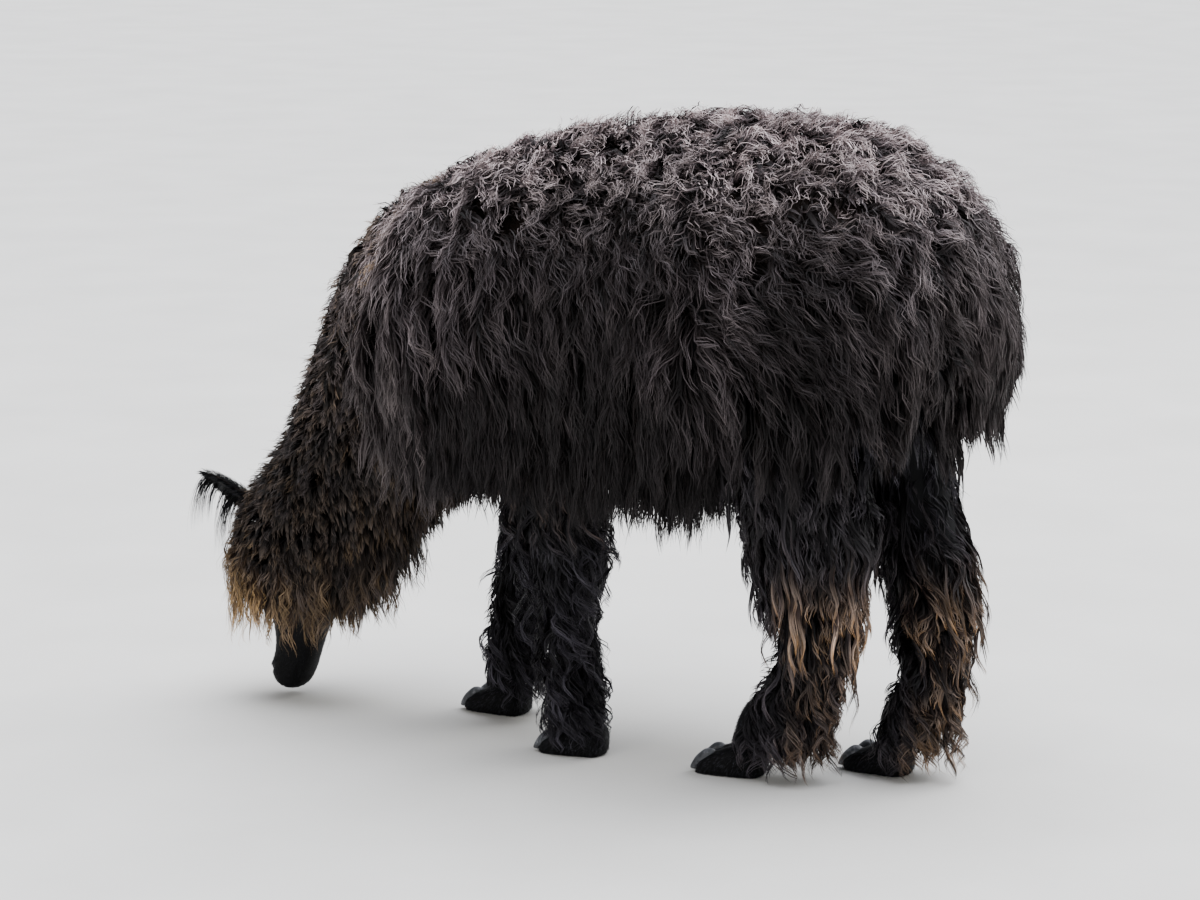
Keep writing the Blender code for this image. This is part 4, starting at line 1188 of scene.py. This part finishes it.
def leg_gilt(leg, tip):
    """Golden brown tips round the hock and down the back of the hind legs, faint ones in front."""
    if leg.startswith("hind"):
        aft, z = aft_share(leg, tip), tip[:, 2]
        top, most, least = (0.33, 1.0, 0.3) if leg.endswith("left") else (0.34, 0.8, 0.6)
        hock = ease(z, top, top - 0.12) * ease(z, 0.15, 0.21) * ease(aft, -0.7, 0.0)
        amount = np.maximum(most * hock, least * ease(z, 0.26, 0.15) * ease(aft, 0.0, 0.7)) + 0.03
    else:
        amount = 0.14 * ease(tip[:, 2], 0.30, 0.36) * ease(tip[:, 2], 0.46, 0.40)
    return np.clip(amount * (1 + 0.5 * wander(tip, 0.035, 81)), 0, 1)


def leg_bright(root):
    """Paler locks round the near hock, and greyer ones down the forelegs."""
    x, y, z = root.T
    hock = 0.5 * ease(x, 0.0, 0.1) * ease(y, 0.05, -0.05) * band(z, 0.28, 0.36, 0.09)
    fore = 0.6 * ease(x, 0.0, -0.1) * ease(z, 0.44, 0.34)
    return 0.75 + fore + hock


LEG_HABIT = dict(
    strands=6, marks=7, steps=8, radius=0.0085, gather=0.60, wave=0.040, sway=0.0036, curl=0.0034,
    sink=0.010, uneven=0.0022, proud=0.003, width=0.0023, shortest=0.2, tangle=math.radians(10),
)
LEG_CURLS = dict(
    strands=11, marks=13, steps=12, radius=0.0066, gather=0.90, loose=0.18, sink=0.010, uneven=0.0030,
    width=0.0021, shortest=0.3, strays=0.0, settled=0.8, least=0.82, length=0.14,
)
FETLOCK_HABIT = dict(
    strands=10, marks=12, radius=0.0075, gather=0.88, wave=0.050, sway=0.0095, curl=0.0070, sink=0.002,
    uneven=0.0040, proud=0.004, width=0.0021, shortest=0.3, strays=0.05, settled=0.45, least=0.8,
    loose=0.20,
)
THIGH_HABIT = dict(
    heading=lambda p: falling(np.full(len(p), 0.1)), waver=lambda p: np.radians(15) * wander(p, 0.06, 83),
    stop=0.30, length=0.07, strands=6, marks=7, steps=6, radius=0.0085, gather=0.6, wave=0.045,
    sway=0.0036, curl=0.0030, sink=0.004, uneven=0.0030, proud=0.010, width=0.0024, shortest=0.2,
    where=lambda p: (p[:, 0] > 0.12) & (p[:, 0] < 0.44) & (p[:, 2] > 0.40) & (p[:, 2] < 0.64),
)
# Where curled locks stand farther from the leg: how far at most, from which share towards the
# front (-) or the back (+) to which, and between which heights.
STANDING_CURLS = {
    "foreleg_left": (0.022, 0.3, 0.9, 0.36, 0.47),
    "foreleg_right": (0.020, -0.3, -0.9, 0.20, 0.36),
    "hindleg_left": (0.008, -0.4, -0.9, 0.36, 0.50),
    "hindleg_right": (0.012, 0.3, 0.9, 0.18, 0.36),
}


def curls_of(leg):
    """The habit of a leg's curled locks: straighter round the hock, more curled below it, and
    standing away from the leg behind the near elbow, ahead of the far knee and at the stifle. None
    grow down the front below the knee or hock, nor high on the near stifle."""
    hind = leg.startswith("hind")
    front = -1.1 if leg == "foreleg_right" else -0.65
    top = 0.42 if leg == "hindleg_left" else 1.0
    most, start, end, low, high = STANDING_CURLS[leg]

    def straight(points):
        """1 from the hock up and 0 below it on a hind leg, and 0 on a foreleg."""
        return hind * (1 - ease(points[:, 2], 0.27, 0.18))

    return dict(
        LEG_CURLS,
        where=lambda p: (aft_share(leg, p) > front) | ((p[:, 2] > 0.30) & (p[:, 2] < top)),
        proud=lambda p: 0.009 + most * ease(aft_share(leg, p), start, end) * band(p[:, 2], low, high, 0.04),
        wave=lambda p: 0.052 + 0.030 * straight(p),
        sway=lambda p: 0.0115 - 0.0080 * straight(p) * ease(aft_share(leg, p), -0.7, -0.3),
        curl=lambda p: 0.0095 - 0.0060 * straight(p),
    )


def falling_locks(leg, count, seed):
    """Locks that hang free beside and behind the foot, and over the near forefoot: each leaves the
    shank outwards, on half a parabola that ends 2.5 cm out, and falls to just above the floor."""
    side = side_of(leg)
    starts = spread(skin, count, seed)
    x, y, z, _, _ = np.array(SKIN_LEGS[leg])[::-1].T
    middle, away = np.interp(starts[:, 2], z, x), np.interp(starts[:, 2], z, y)
    own = (np.abs(starts[:, 0] - middle) < 0.05) & (starts[:, 1] * side > 0.01)
    own &= (starts[:, 2] > 0.080) & (starts[:, 2] < 0.20)
    outer = (starts[:, 1] * side > away) & (starts[:, 0] > middle - 0.006)
    behind = starts[:, 0] > middle + (-0.018 if leg.startswith("hind") else 0.012)
    over_foot = (leg == "foreleg_left") & (starts[:, 0] < middle) & (starts[:, 2] < 0.13)
    place, normal = place_and_normal(starts[own & (outer | behind | over_foot)], skin)
    flat = unit(normal * (1.0, 1.0, 0.0))[:, None]
    dice = np.random.default_rng(seed + 1)
    fall = (place[:, 2] - 0.005 - 0.030 * dice.random(len(place)) ** 1.5)[:, None, None]
    share = np.linspace(0, 1, 9)[:, None]
    lines = place[:, None] + flat * 0.025 * (1 - (1 - share) ** 2) - np.array([0.0, 0.0, 1.0]) * fall * share
    return comb_strands(lines, np.repeat(flat, 9, 1), np.ones(len(place)), FETLOCK_HABIT, seed + 2)


for number, leg in enumerate(LEGS):
    hind = leg.startswith("hind")
    ways = dict(
        heading=partial(leg_heading, leg), stop=partial(leg_stop, leg),
        waver=lambda p: np.radians(20) * wander(p, 0.06, 82),
    )
    gilt = partial(leg_gilt, leg)
    plain_bright = 0.9 if hind else 0.65
    layers = (
        # The legs' underwool is kept at half brightness, as painted shade deep in the wool between the locks.
        ("underwool", 420, dict(UNDERWOOL, length=0.045, radius=0.010, width=0.0080, under=0.009), 0.5),
        ("wool", 1100 if hind else 850, dict(LEG_HABIT, length=partial(leg_length, leg)), plain_bright),
        ("curls", 230 if hind else 160, curls_of(leg), leg_bright),
    )
    form = tube("form", LEG_RINGS[leg])
    for layer, (label, count, habit, bright) in enumerate(layers):
        hair = grow(form, count, 400 + 10 * number + 3 * layer, {**habit, **ways})
        make_hair(f"{leg}_{label}", hair, up_way, gilt, "leg_wool", bright)
    scrap(form)
    make_hair(f"{leg}_fetlock", falling_locks(leg, 10000, 450 + 3 * number), up_way, gilt, "leg_wool", 1.1)
make_hair("thigh_wool", grow(skin, 3200, 480, THIGH_HABIT, skin), up_way, 0.0, "leg_wool", 0.9)


# ---------------------------------------------------------------- short hair of nose, feet and ears
def short_hair(where, heading, count, length, width, rise, seed):
    """Three-point hairs over the bare parts of the skin: each leans along the heading laid on the
    skin, turned by about 14 degrees at random, and rises from it by that share of its length."""
    dice = np.random.default_rng(seed)
    starts = spread(skin, count, seed)
    starts = starts[where(starts)]
    place, normal = place_and_normal(starts, skin)
    run = turned(laid(heading(place), normal), normal, dice.normal(0, 0.25, len(place)))
    size = (length * dice.uniform(0.6, 1.2, len(place)))[:, None]
    path = np.stack([place - normal * 0.0006, place + run * size * 0.5 + normal * size * rise * 0.8,
                     place + run * size + normal * size * rise], 1)
    path[..., 2] = np.maximum(path[..., 2], 0.001)
    across = np.repeat(unit(np.cross(normal, run))[:, None], 3, 1)
    half = width / 2 * dice.uniform(0.7, 1.3, len(place))[:, None] * np.array([0.8, 1.0, 0.0])
    return {"path": path, "across": across, "half": half, "root": place, "tone": dice.random(len(place))}


def on_ears(points):
    """Outside the head, beside or ahead of the poll."""
    x, y, z = points.T
    away = (x - EAR_ROOT[0]) ** 2 + (np.abs(y) - EAR_ROOT[1]) ** 2 + (z - EAR_ROOT[2]) ** 2
    return (z > 0.29) & (away > 0.026**2) & (x < -0.70)


def ear_heading(points):
    """Away from the ear's root, and down."""
    x, y, z = points.T
    return np.stack([x - EAR_ROOT[0], y - EAR_ROOT[1] * np.sign(y), z - 0.35], -1)


# Name, place, heading, how many are tried, length, width, rise, seed, unwrap and brightness.
for name, where, heading, count, length, width, rise, seed, unwrap, bright in (
    ("nose_hair", lambda p: (p[:, 0] < -0.60) & (p[:, 2] < 0.17), lambda p: falling(np.full(len(p), -0.2)),
     420000, 0.0045, 0.0011, 0.20, 500, down_way, 1.0),
    # The foot hair's brightness of 4 is a painted highlight, standing for the sheen of the sky on the toes.
    ("foot_hair", lambda p: (p[:, 2] < 0.19) & (p[:, 0] > -0.50), lambda p: falling(np.full(len(p), -0.8)),
     170000, 0.0075, 0.0013, 0.22, 510, long_way, 4.0),
    ("ear_hair", on_ears, ear_heading, 800000, 0.0140, 0.0012, 0.40, 520, long_way, 1.0),
):
    hair = short_hair(where, heading, count, length, width, rise, seed)
    make_hair(name, hair, unwrap, 0.0, "face_hair", bright)


def ear_tassels(side, count, seed):
    """Long sparse hairs from an ear's lower edge and tip: out along the ear at first, then curving
    down, to 5 to 15 cm."""
    dice = np.random.default_rng(seed)
    mirror = np.array([1.0, SIDES[side], 1.0])
    root, tip = np.array(EAR_ROOT) * mirror, np.array(EAR_TIP[side]) * mirror
    lock = dice.integers(0, 16, count)
    along = (0.25 + 0.72 * dice.random(16))[lock] + dice.normal(0, 0.03, count)
    start = on_surface(root + (tip - root) * along[:, None] - (0.0, 0.0, 0.004), skin)
    out = unit(unit(tip - root) + np.array([-0.2, 0.0, -0.1]) + dice.normal(0, 0.18, (16, 3))[lock])
    out = unit(out + dice.normal(0, 0.10, (count, 3)))
    size = (dice.uniform(0.090, 0.150, 16)[lock] * dice.uniform(0.6, 1.0, count))[:, None, None]
    share = np.linspace(0, 1, 9)[:, None]
    path = start[:, None] + out[:, None] * size * 0.30 * (1 - (1 - share) ** 2)
    path = path - np.array([0.0, 0.0, 1.0]) * size * 0.85 * share**1.4
    run = unit(np.gradient(path, axis=1))
    across = laid(np.tile(dice.normal(0, 1, (count, 1, 3)), (1, 9, 1)), run)
    half = 0.00065 * dice.uniform(0.7, 1.3, count)[:, None] * np.linspace(1, 0, 9)
    return {"path": path, "across": across, "half": half, "root": start, "tone": dice.random(count)}


for number, side in enumerate(SIDES):
    make_hair(f"ear_tassels_{side}", ear_tassels(side, 300, 540 + number), long_way, 0.0, "face_hair")

# ---------------------------------------------------------------- eyes, nails and skin
for side, sign in SIDES.items():
    eye = tube("eyeball_" + side, ball_rings(sign, EYE_RADIUS, 40, 56))
    offset = points_of(eye) - np.array(EYE) * (1, sign, 1)
    add_attribute(eye.data, "iris", np.hypot(offset[:, 0] * 0.75, offset[:, 2] * 1.2) / EYE_RADIUS)
    eye.data.materials.append(eye_material())
    finish(eye)
    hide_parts("eye_" + side)
horn = nail_material()
for leg in LEGS:
    for place, toe in (("outer", int(side_of(leg))), ("inner", -int(side_of(leg)))):
        nail = tube(f"{leg}_claw_{place}", nail_rings(leg, toe))
        nail.data.materials.append(horn)
        finish(nail)
        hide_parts(f"{leg}_nail_{place}")

x, _, z = points_of(skin).T
warm = 0.5 * ease(z, 0.70, 0.85) + 0.6 * ease(x, -0.40, -0.50) * ease(z, 0.12, 0.2)
add_attribute(skin.data, "gilt", warm)
skin.data.materials.append(skin_material())
scrap(shell)
finish(skin)
flesh = ["trunk", "tail", "neck", "topknot", "head", "ear_left", "ear_right"]
flesh += [f"{leg}_{part}" for leg in LEGS for part in ("upper", "lower", "foot")]
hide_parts(*flesh)


# ---------------------------------------------------------------- floor, light and camera
def make_floor():
    """A pale studio floor, 60 m across, faintly mottled."""
    edge = 30.0
    corners = np.array([(-edge, -edge, 0), (edge, -edge, 0), (edge, edge, 0), (-edge, edge, 0)], float)
    floor = make_piece("floor", corners, [(0, 1, 2, 3)])
    made, add = new_material("pale studio floor")
    place = add("TexCoord")["Object"]
    mottle = add("TexNoise", values={"Scale": 3.0, "Detail": 4.0}, links={"Vector": place})
    colour = add("ValToRGB", links={"Fac": mottle["Fac"]}, ramp=((0.3, "#cfcdc8"), (0.7, "#d8d6d1")))
    shader = add("BsdfPrincipled", values={"Roughness": 0.85}, links={"Base Color": colour["Color"]})
    add("OutputMaterial", links={"Surface": shader[0]})
    floor.data.materials.append(made)


def set_up(name, data, place=(0.0, 0.0, 0.0), turn=None, gaze=None):
    """Links a light or the camera into the scene, turned or looking along its gaze."""
    made = bpy.data.objects.new(name, data)
    made.location = place
    made.rotation_euler = turn if gaze is None else gaze.to_track_quat("-Z", "Y").to_euler()
    bpy.context.scene.collection.objects.link(made)
    return made


def add_light(name, kind, power, colour, **settings):
    """The data of one light, with its power and colour."""
    data = bpy.data.lights.new(name, kind)
    for key, value in dict(settings, energy=power, color=linear(colour)[:3]).items():
        setattr(data, key, value)
    return data


make_floor()
for name, place, aim, power, colour in (
    ("soft_front", (-1.5, -5.0, 3.4), (0.0, 0.0, 0.5), 60.0, "#fffaf2"),
    ("soft_back", (2.5, 3.5, 3.0), (0.1, 0.0, 0.6), 110.0, "#ffffff"),
):
    panel = add_light(name, "AREA", power, colour, shape="DISK", size=3.0)
    set_up(name, panel, place, gaze=Vector(aim) - Vector(place))
overhead = add_light("overhead_softbox", "SUN", 8.0, "#f4f7ff", angle=math.radians(75))
set_up("overhead_softbox", overhead, turn=(math.radians(-8), math.radians(4), 0.0))
world = bpy.data.worlds.new("studio")
world.use_nodes = True
world.node_tree.nodes["Background"].inputs["Color"].default_value = linear("#e9ecf0")
world.node_tree.nodes["Background"].inputs["Strength"].default_value = 0.58
bpy.context.scene.world = world

camera_data = bpy.data.cameras.new("camera")
camera_data.lens = 108.6
camera_data.sensor_width = 36.0
camera_data.clip_end = 200.0
stand = Vector((2.488, -4.680, 1.5))
heading = math.atan2(-stand.y, -stand.x) + math.radians(1.2515)
pitch = math.radians(11.0489)
gaze = Vector((math.cos(heading) * math.cos(pitch), math.sin(heading) * math.cos(pitch), -math.sin(pitch)))
bpy.context.scene.camera = set_up("camera", camera_data, stand + Vector(SHIFT), gaze=gaze)
